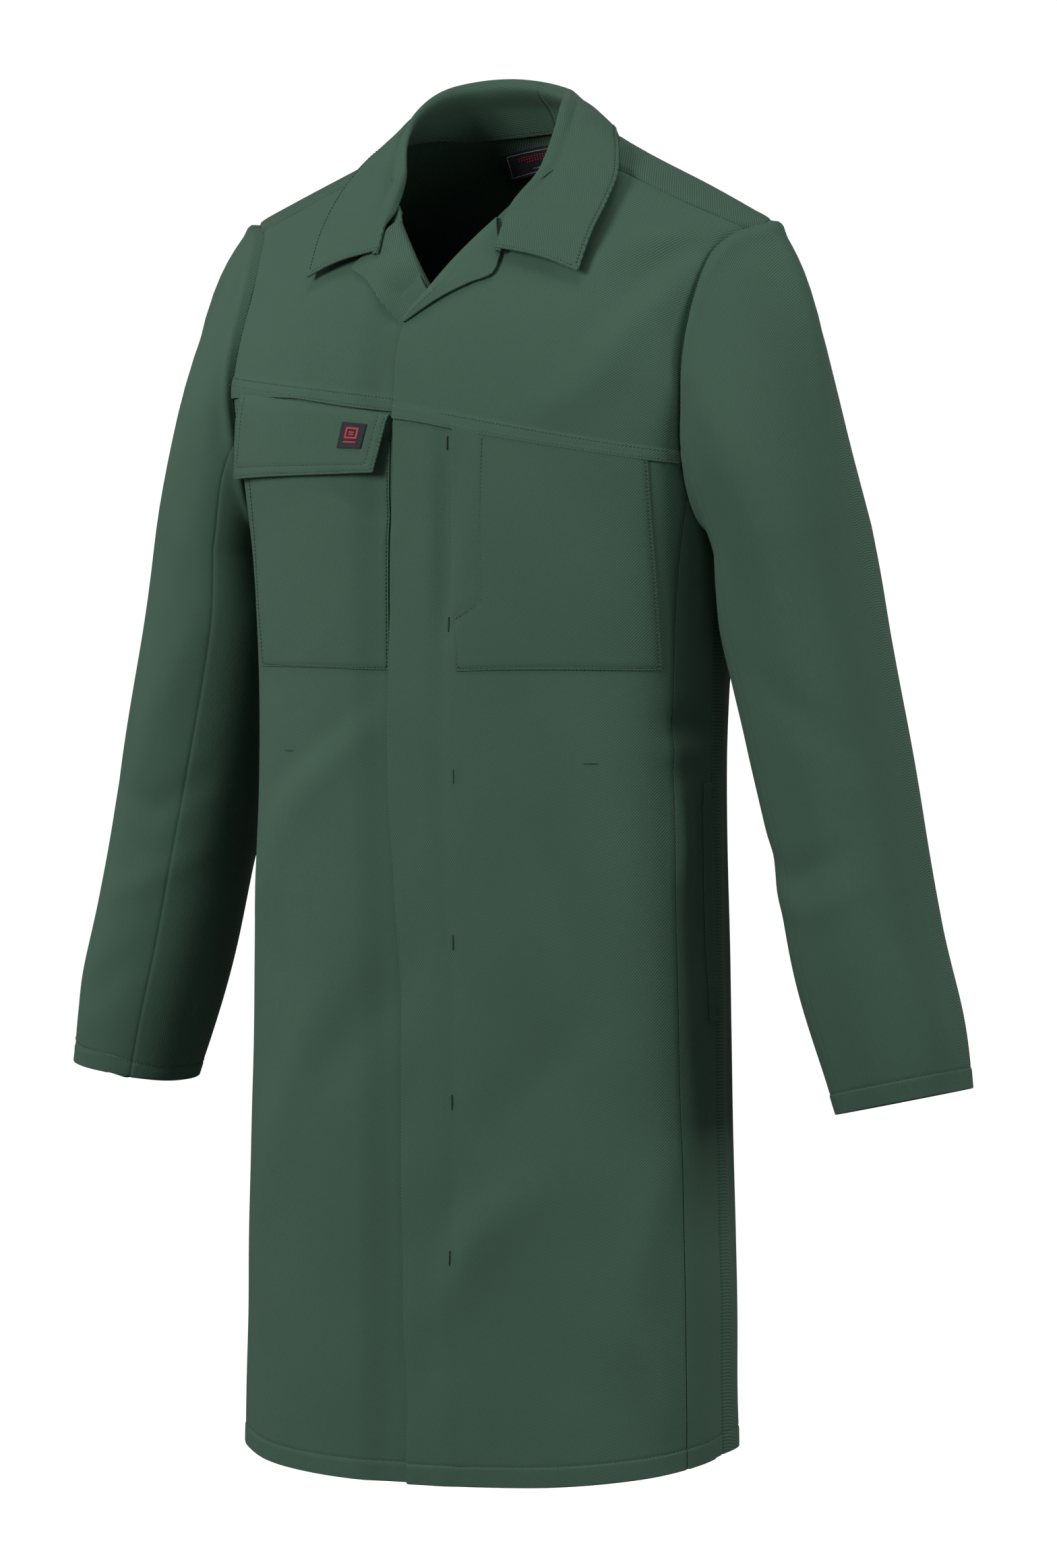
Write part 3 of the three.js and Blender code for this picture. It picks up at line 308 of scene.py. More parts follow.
def metal_mat():
    m = bpy.data.materials.new("nickel"); m.use_nodes = True; nt = m.node_tree; bs = nt.nodes["Principled BSDF"]
    bs.inputs["Metallic"].default_value = 1.0
    tc = nt.nodes.new("ShaderNodeTexCoord"); n1 = nt.nodes.new("ShaderNodeTexNoise"); n1.inputs["Scale"].default_value = 700; n1.inputs["Detail"].default_value = 5; nt.links.new(tc.outputs["Object"], n1.inputs["Vector"])
    cr = nt.nodes.new("ShaderNodeValToRGB"); cr.color_ramp.elements[0].color = (.42, .42, .43, 1); cr.color_ramp.elements[1].color = (.66, .65, .64, 1)
    nt.links.new(n1.outputs["Fac"], cr.inputs["Fac"]); nt.links.new(cr.outputs["Color"], bs.inputs["Base Color"])
    mr = nt.nodes.new("ShaderNodeMapRange"); mr.inputs["To Min"].default_value = .22; mr.inputs["To Max"].default_value = .42
    nt.links.new(n1.outputs["Fac"], mr.inputs["Value"]); nt.links.new(mr.outputs["Result"], bs.inputs["Roughness"])
    return m
M_METAL = metal_mat()

# ------------------------------------------------------------------ how pieces are placed: world transform baked into the mesh
def move_front(ob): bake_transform(ob)
def move_sleeve(ob, side):
    d = np.array([1, 0, -.35]); d2 = d @ d
    c_ = np.array([.2385, 0, .986]) if side > 0 else np.array([.2425, 0, .984])
    k_ = c_ @ d; s = d*((-.082)/d2); e = d*((.022)/d2)
    s = s*np.array([side, 1, 1]); e = e*np.array([side, 1, 1])
    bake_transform(ob)

# ------------------------------------------------------------------ seam lines
def yoke_z(side, x): return (.8286 + (x+.0208)*(.7941-.8286)/(.1999+.0208)) if side > 0 else (.8332 + (-x-.0216)*(.8539-.8332)/(.198-.0216))
def yoke_h(side, t):
    t = np.asarray(t, float); h = np.full_like(t, .830)
    for _ in range(30):
        p = B(t, h); h = h + yoke_z(side, p[..., 0]) - p[..., 2]
    return h
ARM_F = [(90,.748),(80,.751),(71,.765),(65.5,.79),(61.8,.82),(57.2,.887),(54.8,.925),(53.2,.957),(52.5,.992),(52.7,1.0186),(54.1,1.0435),(57,1.062),(62,1.074),(68,1.081)]
ARM_B = [(90,.748),(99,.752),(107,.768),(113,.80),(117,.85),(119.5,.90),(121.5,.95),(122.5,.985),(122.3,1.02),(121,1.045),(118.5,1.062),(115.5,1.074),(112,1.081)]
arm_low = spl(sorted([(a, b) for a, b in ARM_F[:6]]))
def top_h(side, t):
    d = np.abs(np.degrees(t)); y = yoke_h(side, t)
    return np.where(d > 57.2, np.minimum(y, arm_low(d)), y)
def under_drop(x): return -.0054*smooth(-.062, -.030, x) - .0012*smooth(-.031, -.0215, x)
def arm_ring3(side):
    us = np.linspace(0, 1, 61)
    f = poly([(t/300, h) for t, h in ARM_F], us); b = poly([(t/300, h) for t, h in ARM_B], us)
    F = B(side*D(f[:, 0]*300), f[:, 1]); Bk = B(side*D(b[:, 0]*300), b[:, 1])
    top = ridge(np.full(3, side*D(68.)), np.array([.25, .5, .75]))
    ring = np.vstack([F, top, Bk[::-1]])
    d = np.r_[0, np.cumsum(np.linalg.norm(np.diff(ring, axis=0), axis=1))]; m = len(F)+1
    u = np.where(np.arange(len(d)) <= m, d/d[m]*.5, .5+(d-d[m])/(d[-1]-d[m])*.5)
    return ring, u
RING = {s: arm_ring3(s) for s in (1, -1)}
def arm_at(side, q):
    ring, u = RING[side]; q = np.mod(q, 1)
    return np.stack([np.interp(q, u, ring[:, k]) for k in range(3)], -1)
def dist_to(P, line):
    best = np.full(P.shape[:-1], 1e9)
    for k in range(len(line)-1):
        a, b = line[k], line[k+1]; d = b-a; l2 = max(d @ d, 1e-12)
        u = np.clip(((P-a) @ d)/l2, 0, 1)
        best = np.minimum(best, np.linalg.norm(P-(a+u[..., None]*d), axis=-1))
    return best
def near_arm(G, side):
    out = np.full(G.shape[:2], 1.0)
    ring = RING[side][0][::2]
    m = np.linalg.norm(G - np.array([side*.22, 0, .87]), axis=-1) < .26
    if m.any(): out[m] = dist_to(G[m], ring)
    return out
def arm_valley(G, side): d = near_arm(G, side); return -.0016*np.exp(-(d/.0022)**2) - .0010*np.exp(-(d/.007)**2)

PIECES = []
def body_sheet(name, T, H, off, th, mat, nodes, fn=B, move=None, round_=(1, 1, 1, 1), extra=None, uv=None, base_off=0):
    G0 = fn(T, H); N = normal(fn, T, H)
    c = np.array([0, -.01, 0]); out = G0.copy(); out[..., 2] = 0
    ref = G0[G0.shape[0]//2, G0.shape[1]//2] - np.array([0, 0, G0[G0.shape[0]//2, G0.shape[1]//2, 2]])
    if np.sum(N[G0.shape[0]//2, G0.shape[1]//2]*ref) < 0: N = -N
    f = fold(G0)
    o = off(G0) if callable(off) else off
    ob = shell(name, G0, N, o + f + (extra if extra is not None else 0), th, mat, uv=uv, round_=round_)
    if nodes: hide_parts(*nodes)
    if move == "front": move_front(ob)
    elif move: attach(ob, move)
    PIECES.append(ob)
    return ob

# a point on the displaced body, for stitches and trim
def S(t, h, off=0.0, fn=B):
    t = np.asarray(t, float); h = np.asarray(h, float)
    p = fn(t, h); n = normal(fn, t, h)
    ref = p.copy(); ref[..., 2] = 0
    sg = np.where(np.sum(n*ref, -1, keepdims=True) < 0, -1.0, 1.0); n = n*sg
    return p + n*(np.asarray(off) + fold(p))[..., None], n

class Stitches:
    """runs of separate stitches, gathered into one mesh"""
    def __init__(self): self.V = []; self.F = []; self.UV = []; self.n = 0
    def run(self, P, N, pitch=.0030, length=.0023, r=.00034, lift=.00005, jitter=.0):
        P = np.asarray(P, float); d = np.r_[0, np.cumsum(np.linalg.norm(np.diff(P, axis=0), axis=1))]
        if d[-1] < pitch: return
        c = np.arange(pitch*.5, d[-1]-pitch*.4, pitch)
        ks = np.linspace(-.5, .5, 5)
        prof = np.array([.25, .85, 1.0, .85, .25]); sink = np.array([-1.3, -.1, .35, -.1, -1.3])
        A = np.linspace(0, 2*np.pi, 6, endpoint=False)
        s = c[:, None] + ks[None]*length
        def at(x, Q): return np.stack([np.interp(x, d, Q[:, k]) for k in range(3)], -1)
        X = at(s, P); Nn = unit(at(s, N)); Tn = unit(at(s+.0004, P)-at(s-.0004, P)+1e-12); Bn = np.cross(Tn, Nn)
        X = X + Nn*(lift + sink*r)[None, :, None]
        R = (prof*r)[None, :, None, None]
        ringp = X[:, :, None, :] + R*(np.cos(A)[None, None, :, None]*Bn[:, :, None, :]*1.15 + np.sin(A)[None, None, :, None]*Nn[:, :, None, :])
        m = len(c); V = ringp.reshape(-1, 3)
        base = self.n + (np.arange(m)*30)[:, None]
        q = []
        for k in range(4):
            for a in range(6):
                b = (a+1) % 6
                q.append([k*6+a, k*6+b, (k+1)*6+b, (k+1)*6+a])
        q = np.array(q)
        F = (base[:, :, None] + q[None]).reshape(-1, 4)
        cap = np.array([[0, 5, 4, 3], [0, 3, 2, 1], [24, 25, 26, 27], [24, 27, 28, 29]])
        F2 = (base[:, :, None] + cap[None]).reshape(-1, 4)
        self.V.append(V); self.F.append(F); self.F.append(F2); self.n += len(V)
    def build(self, name, move=None, side=None, mat=None, slot="thread"):
        if not self.V: return None
        V = np.concatenate(self.V); F = np.concatenate(self.F)
        ob = new_obj(name, V, F, np.zeros((len(V), 2)), mat or M_THREAD)
        if move == "front": move_front(ob)
        elif move == "sleeve": move_sleeve(ob, side)
        elif move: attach(ob, move)
        return ob
ST = {1: Stitches(), -1: Stitches(), "coat": Stitches(), "flap": Stitches(), "sl": Stitches(), "sr": Stitches()}

# ------------------------------------------------------------------ front panels
TH = .0013
HINGE = D(66.)
def front_cols(side):
    if side > 0: return pts_mm(240, EDGE, [0], 4.2)
    return pts_mm(285, EDGE, [0], 4.2)
def make_front(side):
    cols = front_cols(side); rows = pts_mm(790, HEMF, [0, .6, 1.3, 2.2, 3.5, 5.5, 8, 11], 5.0)
    R, Cc = np.meshgrid(rows, cols, indexing="ij")
    H = np.full(R.shape, .4)
    for _ in range(4):
        te = t_of_x(edge_x(H) if side > 0 else np.full(H.shape, .030), H)
        T = te + (side*(HINGE + D(1.6)) - te)*Cc
        tt = np.where(side*T > D(-12) if side > 0 else T < D(12), T, T)
        top = top_h(side, np.where(side > 0, np.maximum(T, D(-8)), np.minimum(T, D(0))))
        over = np.where(np.abs(np.degrees(T)) > 57.2, -.0012, .0050)
        H = hem(T) + (top + over - hem(T))*R
    G0 = B(T, H)
    dh = (H - hem(T))                       # above the hem
    hemline = .0150
    off = np.zeros(T.shape)
    off += .0004*smooth(hemline, hemline-.001, dh) + groove(dh-hemline)
    top_d = top + np.where(np.abs(np.degrees(T)) > 57.2, 9, 0) - H
    off += -.0012*smooth(.004, -.0005, top_d)
    off += arm_valley(G0, side)
    ed = np.linalg.norm(G0 - G0[:, :1], axis=-1)
    if side > 0:
        off += .0007*smooth(.046, .030, ed) - .0007*np.exp(-((ed-.047)/.005)**2)*smooth(.86, .80, H)
        off += .0005*np.sin(ed*0+H*61)*smooth(.02, .0, ed)
    else:
        off += under_drop(G0[..., 0]) - .0004
    # hinge line tucks inside the side strip
    deg = np.abs(np.degrees(T)); off += -.0016*smooth(66.0, 66.5, deg)
    th = TH + .0005*smooth(hemline, hemline-.001, dh)
    # the twill runs level across the front
    uv = np.stack([np.where(side > 0, ed, -ed + .3), H], -1)
    body_sheet("front_panel_left" if side > 0 else "front_panel_right", T, H, off, th, M_FRONT, ["front_panel_left" if side > 0 else "front_panel_right"], move="front", uv=uv)
    # hem stitches
    tl = np.linspace(T[0, 2] if side > 0 else D(9), side*D(65.8), 160); hh = hem(tl) + hemline
    x = B(tl, hh)[:, 0]
    P_, N_ = S(tl, hh, off=TH/2 - .0004 + (under_drop(x) - .0004 if side < 0 else 0)); ST[side].run(P_, N_)
for s_ in (1, -1): make_front(s_)

def make_side(side):
    rows = pts_mm(730, HEMF, [0, .6, 1.3, 2.2, 3.5, 5.5, 8], 5.0)
    deg = np.r_[66, 66.15, 66.35, 66.6, 66.9, 67.3, np.linspace(68, 86, 20)[:-1], 86, 87, 88, 88.6, 89.1, 89.5, 89.8]
    R, Dg = np.meshgrid(rows, deg, indexing="ij"); T = side*D(Dg)
    top = arm_low(Dg) - .0008
    H = hem(T) + (top - hem(T))*R
    G0 = B(T, H); dh = H - hem(T)
    off = .0004*smooth(.015, .014, dh) + groove(dh-.015) + arm_valley(G0, side)
    off += -.0014*np.exp(-((90-Dg)/.7)**2)
    thin = 1 - .8*smooth(67.2, 66.0, Dg)
    off += (1-thin)*TH/2
    # the side pocket's mouth stands off the seam a little
    mouth = smooth(.37, .40, H)*smooth(.556, .53, H)
    off += mouth*.0016*np.exp(-((88.2-Dg)/1.6)**2)
    uv = np.stack([.24 + (Dg-66)*.0033, H], -1)
    body_sheet(f"front_side_{'left' if side > 0 else 'right'}", T, H, off, (TH + .0005*smooth(.015, .014, dh))*thin, M_FRONT, [f"front_side_{'left' if side > 0 else 'right'}"], move="coat", round_=(1, 1, 1, 0) , uv=uv)
    tl = side*D(np.linspace(66.2, 89.4, 60)); P_, N_ = S(tl, hem(tl)+.015, off=TH/2-.0004); ST["coat"].run(P_, N_)
for s_ in (1, -1): make_side(s_)

# ------------------------------------------------------------------ yokes
def coons(bottom, top, left, right, us, vs):
    b, t, l, r = poly(bottom, us), poly(top, us), poly(left, vs), poly(right, vs)
    U = us[None, :, None]; Vv = vs[:, None, None]
    return (1-Vv)*b[None] + Vv*t[None] + (1-U)*l[:, None] + U*r[:, None] - ((1-U)*(1-Vv)*b[0] + U*(1-Vv)*b[-1] + (1-U)*Vv*t[0] + U*Vv*t[-1])
def pr(lst): return [(a*.004, b) for a, b in lst]
def make_yoke(side):
    te = float(np.degrees(t_of_x(edge_x(.834), .834)))
    tU = float(np.degrees(t_of_x(.030, .834)))
    yk = lambda d: float(yoke_h(side, D(np.array([float(d)])))[0])
    if side > 0:
        bottom = [(d, yk(d)) for d in (te, 12, 28, 43, 55, 61.2)]
        e = lambda h: float(np.degrees(t_of_x(edge_x(h), h)))
        left = [bottom[0], (e(.870), .870), (e(.895), .895), (-4.3, .908), (-3.0, .918), (0.2, .935), (4.2, .960), (8.2, .984), (12.3, 1.006)]
        right = [bottom[-1], (57.2, .887), (54.8, .925), (53.2, .957), (52.5, .992), (52.7, 1.0186), (54.1, 1.0435), (57, 1.062), (61.2, 1.0712)]
        top = [(12.3, 1.006), (14, 1.022), (17, 1.044), (21, 1.060), (25, 1.0668), (33, 1.0682), (43, 1.0682), (52, 1.0700), (61.2, 1.0712)]
    else:
        bottom = [(tU, .8386), (0, .8374), (-12, yk(-12)), (-28, yk(-28)), (-43, yk(-43)), (-52, yk(-52)), (-57.9, yk(-57.9))]
        left = [bottom[0], (8.6, .870), (7.5, .900), (3.5, .922), (-0.6, .936), (-4.4, .960), (-8.4, .984), (-11.4, 1.010)]
        right = [bottom[-1], (-57.2, .887), (-54.8, .925), (-53.2, .957), (-52.5, .992), (-52.7, 1.0186), (-54.1, 1.0435), (-57, 1.062), (-61.2, 1.0712)]
        top = [(-11.4, 1.010), (-14, 1.026), (-17, 1.045), (-21, 1.060), (-25, 1.0668), (-33, 1.0682), (-43, 1.0682), (-52, 1.0700), (-61.2, 1.0712)]
    us = pts_mm(230, EDGE, [0, .6, 1.3, 2.2, 3.5, 5.5, 8], 3.6); vs = pts_mm(215, SEAM, [0, .6, 1.3, 2.2, 3.5, 5.5], 3.4)
    C = coons(pr(bottom), pr(top), pr(left), pr(right), us, vs); T = D(C[..., 0]/.004); H = C[..., 1]
    G0 = B(T, H)
    dy = H - yoke_h(side, T)
    off = .0013*smooth(.0135, .0100, dy) + .0006*smooth(.006, 0, dy)
    off += groove(dy-.0016, .0008, .0004) + groove(dy-.0106, .0011, .0006)
    ds = 1.0695 - H + 0*T
    off += arm_valley(G0, side)
    off += -.0015*np.exp(-((1-vs)[:, None]*215/2.4)**2)       # shoulder seam
    if side < 0: off += under_drop(G0[..., 0])*(1-smooth(.905, .945, G0[..., 2]))
    if side > 0:
        ed = (us*230*MM)[None, :] + 0*H; off += .0007*smooth(.046, .030, ed)*smooth(.92, .86, H) 
    uv = np.stack([G0[..., 0]+.02, H], -1)
    nm = f"front_yoke_{'left' if side > 0 else 'right'}"
    body_sheet(nm, T, H, off, .0014, M_FRONT, [nm], move="front", uv=uv)
    for d, a in ((.0016, .0019), (.0106, .0013)):
        tl = np.linspace(D(te)+D(.4) if side > 0 else D(-1.0), D(side*57.6), 170)
        hh = yoke_h(side, tl) + d; x = B(tl, hh)[:, 0]
        P_, N_ = S(tl, hh, off=a + .0014/2 - .0005 + (under_drop(x) if side < 0 else 0)); ST[side].run(P_, N_)
for s_ in (1, -1): make_yoke(s_)

# ------------------------------------------------------------------ backs
def make_back(side):
    s = side
    hb = lambda d: float(hem(s*D(d)))
    bottom = [(d, hb(d)) for d in (180, 165, 150, 135, 120, 105, 90.1)]
    left = [(180, hb(180)), (180, .3), (180, .6), (180, .9), (180, 1.069)]
    right = [(90.1, hb(90.1)), (90.1, .3), (90.1, .55), (90.1, .69), (90.1, .735), (90.3, .7465), (93, .748), (99, .752), (107, .768), (113, .80), (117, .85), (119.5, .90), (121.5, .95), (122.5, .985), (122.3, 1.02), (121, 1.045), (118.5, 1.062), (115.5, 1.074), (112, 1.081), (113.1, 1.093), (114.5, 1.105), (118.6, 1.1150)]
    top = [(180, 1.069), (172, 1.0705), (165, 1.076), (160.5, 1.086), (157, 1.100), (155, 1.1175), (150, 1.1180), (140, 1.1184), (130, 1.1166), (118.6, 1.1150)]
    sc = lambda l: [(a*.003, b) for a, b in l]
    us = pts_mm(330, [0, .5, 1.1, 2, 3.4], [0, .6, 1.3, 2.2, 3.5, 5.5], 4.6); vs = pts_mm(1080, HEMF, [0, .6, 1.3, 2.2, 3.5, 5.5], 5.0)
    C = coons(sc(bottom), sc(top), sc(left), sc(right), us, vs); T = s*D(C[..., 0]/.003); H = C[..., 1]
    G0 = back_body(T, H); dh = H - hem(T)
    off = .0004*smooth(.015, .014, dh) + groove(dh-.015) + arm_valley(G0, side)
    off += -.0012*np.exp(-((us*330)/1.6)**2)[None, :]*smooth(1.072, 1.05, H)
    sidew = ((1-us)*330)[None, :] + 0*H
    off += (.0004-.0014*np.exp(-(sidew/2.2)**2))*smooth(.75, .74, H)
    off += (.0012*np.exp(-((((1-vs)[:, None]*1080)-4)/3.5)**2) - .0008*np.exp(-(((1-vs)[:, None]*1080)/1.6)**2))*smooth(1.08, 1.10, H)
    uv = np.stack([G0[..., 0], H], -1)
    nm = f"back_{'left' if side > 0 else 'right'}"
    N = normal(back_body, T, H)
    ref = G0 - np.array([0, 0, .7]); N = np.where(np.sum(N*ref, -1, keepdims=True) < 0, -N, N)
    ob = shell(nm, G0, N, off + fold(G0), TH, M_BACK, uv=uv)
    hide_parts(nm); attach(ob, "coat"); PIECES.append(ob)
    tl = s*D(np.linspace(90.4, 179.6, 230)); P_, N_ = S(tl, hem(tl)+.015, off=TH/2-.0004); ST["coat"].run(P_, N_)
for s_ in (1, -1): make_back(s_)

# ------------------------------------------------------------------ sleeves
SLV = [(.306,.3585,0,.048,.050),(.350,.348,0,.0525,.0555),(.410,.3312,0,.0555,.060),(.500,.3105,.001,.056,.062),(.593,.2885,.001,.0575,.065),(.685,.2666,0,.059,.068),(.777,.2455,-.003,.060,.073),(.800,.2405,-.004,.061,.074)]
s_x = spl([(r[0], r[1]) for r in SLV]); s_y = spl([(r[0], r[2]) for r in SLV]); s_hx = spl([(r[0], r[3]) for r in SLV]); s_hy = spl([(r[0], r[4]) for r in SLV])
s_in = spl([(.306,.048),(.350,.0525),(.410,.0555),(.500,.056),(.593,.0575),(.640,.0575),(.685,.055),(.710,.049),(.735,.042),(.772,.031)])
CUFF = {1: .318, -1: .306}
def sleeve_point(psi, z):
    e = .001; c = np.stack([s_x(z), s_y(z), z+0*psi], -1)
    t = unit(np.stack([s_x(z-e)-s_x(z+e), s_y(z-e)-s_y(z+e), np.full_like(z+0*psi, -2*e)], -1))
    e1 = unit(np.cross(t, [0, -1., 0])); e1 = np.where(e1[..., :1] > 0, -e1, e1)
    e2 = np.cross(t, e1); e2 = np.where(e2[..., 1:2] > 0, -e2, e2)
    Cc, Ss = np.cos(psi), np.sin(psi); n = np.where(Cc > 0, lerp(2.25, 2.8, smooth(.60, .735, z)), 2.25)
    rho = (np.abs(Cc)**n + np.abs(Ss)**n)**(-1/n)
    slim = np.where(Cc > 0, 0, .0040*smooth(.36, .44, z))
    return c + e1*(rho*Cc*np.where(Cc > 0, s_in(z), s_hx(z) - slim))[..., None] + e2*(rho*Ss*s_hy(z))[..., None], t
def sleeve_grid(side, psis, vs):
    """vs 0..1 = cap, 1..2 = tube"""
    z0 = .735; z1 = CUFF[side]
    PS, VS = np.meshgrid(psis, vs); out = np.zeros(PS.shape + (3,))
    A = arm_at(side, PS/(2*np.pi)); A = A*np.array([side, 1, 1])
    R0, T1 = sleeve_point(PS, np.full_like(PS, z0))
    u = (1-np.cos(PS))/2; L = np.linalg.norm(R0-A, axis=-1)*1.05
    T0 = unit(np.stack([.30+.38*u, -.30*np.sin(PS), -.95+.20*u], -1))
    s = np.clip(VS, 0, 1); s2 = s*s; s3 = s2*s; L = L[..., None]
    q = A*(2*s3-3*s2+1)[..., None] + T0*(s3-2*s2+s)[..., None]*L + R0*(3*s2-2*s3)[..., None] + T1*(s3-s2)[..., None]*L
    q[..., 0] += (.0 if side > 0 else .0075)*u*np.sin(np.pi*s**(1.0 if side > 0 else .55)) - (.0025*u*np.sin(np.pi*s) if side > 0 else .003*u*smooth(.45, .9, s)*np.sin(np.pi*s))
    z = z0 + (z1-z0)*np.clip(VS-1, 0, 1)
    q2, _ = sleeve_point(PS, z)
    G = np.where((VS <= 1)[..., None], q, q2)
    return G*np.array([side, 1, 1])
# folds on the sleeves: (psi deg, z) lines
SF = {1: [([(60,.66),(110,.60),(150,.56)], -1.6, 14), ([(20,.52),(70,.49),(120,.50)], -2.2, 11), ([(20,.49),(80,.46),(130,.475)], 1.6, 11), ([(95,.86),(120,.74),(130,.60)], 1.8, 18), ([(60,.80),(85,.70),(95,.60)], -1.8, 14), ([(130,.42),(160,.37),(175,.33)], 1.4, 14), ([(200,.80),(230,.66),(240,.50)], 2.2, 18), ([(250,.60),(300,.54),(340,.55)], -2.4, 13), ([(255,.56),(310,.50),(350,.51)], 2.0, 11)],
      -1: [([(60,.70),(95,.60),(110,.50)], 2.0, 16), ([(40,.56),(80,.52),(130,.53)], -2.2, 12), ([(30,.50),(80,.46),(120,.44)], 1.8, 12), ([(80,.86),(110,.76),(120,.64)], -1.8, 16), ([(120,.86),(150,.70),(155,.55)], 1.8, 18), ([(60,.42),(100,.37),(140,.34)], -1.5, 13), ([(200,.80),(230,.66),(240,.50)], 2.2, 18), ([(250,.60),(300,.54),(340,.55)], -2.4, 13), ([(255,.56),(310,.50),(350,.51)], 2.0, 11)]}
def sleeve_fold(G, side):
    o = np.zeros(G.shape[:-1])
    for pl, a, w in SF[side]:
        ps = D(np.array([p for p, _ in pl], float)); zz = np.array([z for _, z in pl], float)
        m = np.linspace(0, 1, 7); ps = np.interp(m, np.linspace(0, 1, len(pl)), ps); zz = np.interp(m, np.linspace(0, 1, len(pl)), zz)
        q, _ = sleeve_point(ps, zz); q = q*np.array([side, 1, 1])
        o += a*MM*seg_field(G, q, w*MM)
    x, y, z = G[..., 0], G[..., 1], G[..., 2]
    return o + .0005*np.sin(33*z+19*y+side)*np.sin(25*x-13*y)
for side in (1, -1):
    nmside = 'left' if side > 0 else 'right'
    capv = np.array([0, 1.2, 2.4, 3.6, 5, 7, 10, 14, 19, 25, 32, 40, 48, 56, 64, 72, 80, 88, 95])/95.
    tube = 430.
    tv = pts_mm(tube, [0, 4], HEMF, 4.6)
    vs = np.r_[capv[:-1], 1 + tv]; vs[len(capv)-1] = 1.0
    for part, (a0, a1), n in (("upper", (58.2, 301.8), 96), ("under", (-58.2, 58.2), 46)):
        span = (a1-a0); L = span/360*390
        us = pts_mm(L, [0, .5, 1.1, 2, 3.4, 5.5], [0, .5, 1.1, 2, 3.4, 5.5], 4.0)
        psis = D(a0 + us*span)
        G = sleeve_grid(side, psis, vs)
        N = grid_normals(G); ctr = np.array([side*.285, 0, .6])
        mid = G[len(vs)//2, len(us)//2]
        # outwards = away from the sleeve's own axis
        zc = np.clip(G[..., 2], .306, .80); axis = np.stack([side*s_x(zc), s_y(zc), zc], -1)
        if np.sum(N[len(vs)//2, len(us)//2]*(mid-axis[len(vs)//2, len(us)//2])) < 0: N = -N
        dv = np.concatenate([np.zeros((1, G.shape[1])), np.cumsum(np.linalg.norm(np.diff(G, axis=0), axis=-1), 0)], 0)
        dcuff = dv[-1:] - dv
        off = .0004*smooth(.015, .014, dcuff) + groove(dcuff-.015) + sleeve_fold(G, side)*smooth(0, .02, dv)*smooth(.0, .03, dcuff)
        seam_d = np.minimum(us*L, (1-us)*L)[None, :]
        off = off - .0006*np.exp(-(seam_d/1.4)**2)*smooth(0, .01, dv)
        # sleeve head rolls up from the seam
        off = off + (-.0026*np.exp(-(dv/.0020)**2) + .0022*np.exp(-((dv-.008)/.006)**2))
        uv = np.stack([(us*L*MM)[None, :] + 0*dv + (0 if part == "upper" else .4), -dv], -1)
        nm = f"sleeve_{part}_{nmside}"
        ob = shell(nm, G, N, off, .0014 + .0004*smooth(.015, .014, dcuff), M_SLEEVE_L if side > 0 else M_SLEEVE_R, uv=uv)
        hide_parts(nm); move_sleeve(ob, side); PIECES.append(ob)
        kk = np.argmin(np.abs(dcuff[:, 0]-.015))
        P_ = G[kk] + N[kk]*(off[kk] + .0007 + .0001)[:, None]
        ST["sl" if side > 0 else "sr"].run(P_, N[kk])

# ------------------------------------------------------------------ collar, one leaf folded over
FOLD_R = [(-58,-73,993),(-66,-47,1018),(-72,-33,1045),(-73,-14,1066),(-66,12,1083),(-49,36,1091),(-26,49,1093)]
FOLD_L = [(25,47,1084),(45,19,1078),(60,-8,1069),(69,-30,1049),(65,-47,1018),(58,-73,993)]
OUT_R = [(-123.5,-91.5,939),(-125,-75,969),(-124,-54,997),(-118,-33,1021),(-108,-12,1040),(-99,14,1048),(-90,46,1043),(-74,76,1034),(-42,98,1030)]
OUT_L = [(45,94,1031),(64,66,1042),(79,34,1052),(98,4,1049),(116,-22,1031),(126,-40,1013),(128,-60,990),(126,-75,970),(123.5,-91.5,939)]
COL_FOLD = np.array([(-54,-97,957),(-55.5,-85,979)] + FOLD_R + [(0,53,1090)] + FOLD_L + [(55.5,-85,979),(54,-97,957)])*MM
COL_OUT = np.array(OUT_R + [(0,105,1030)] + OUT_L)*MM
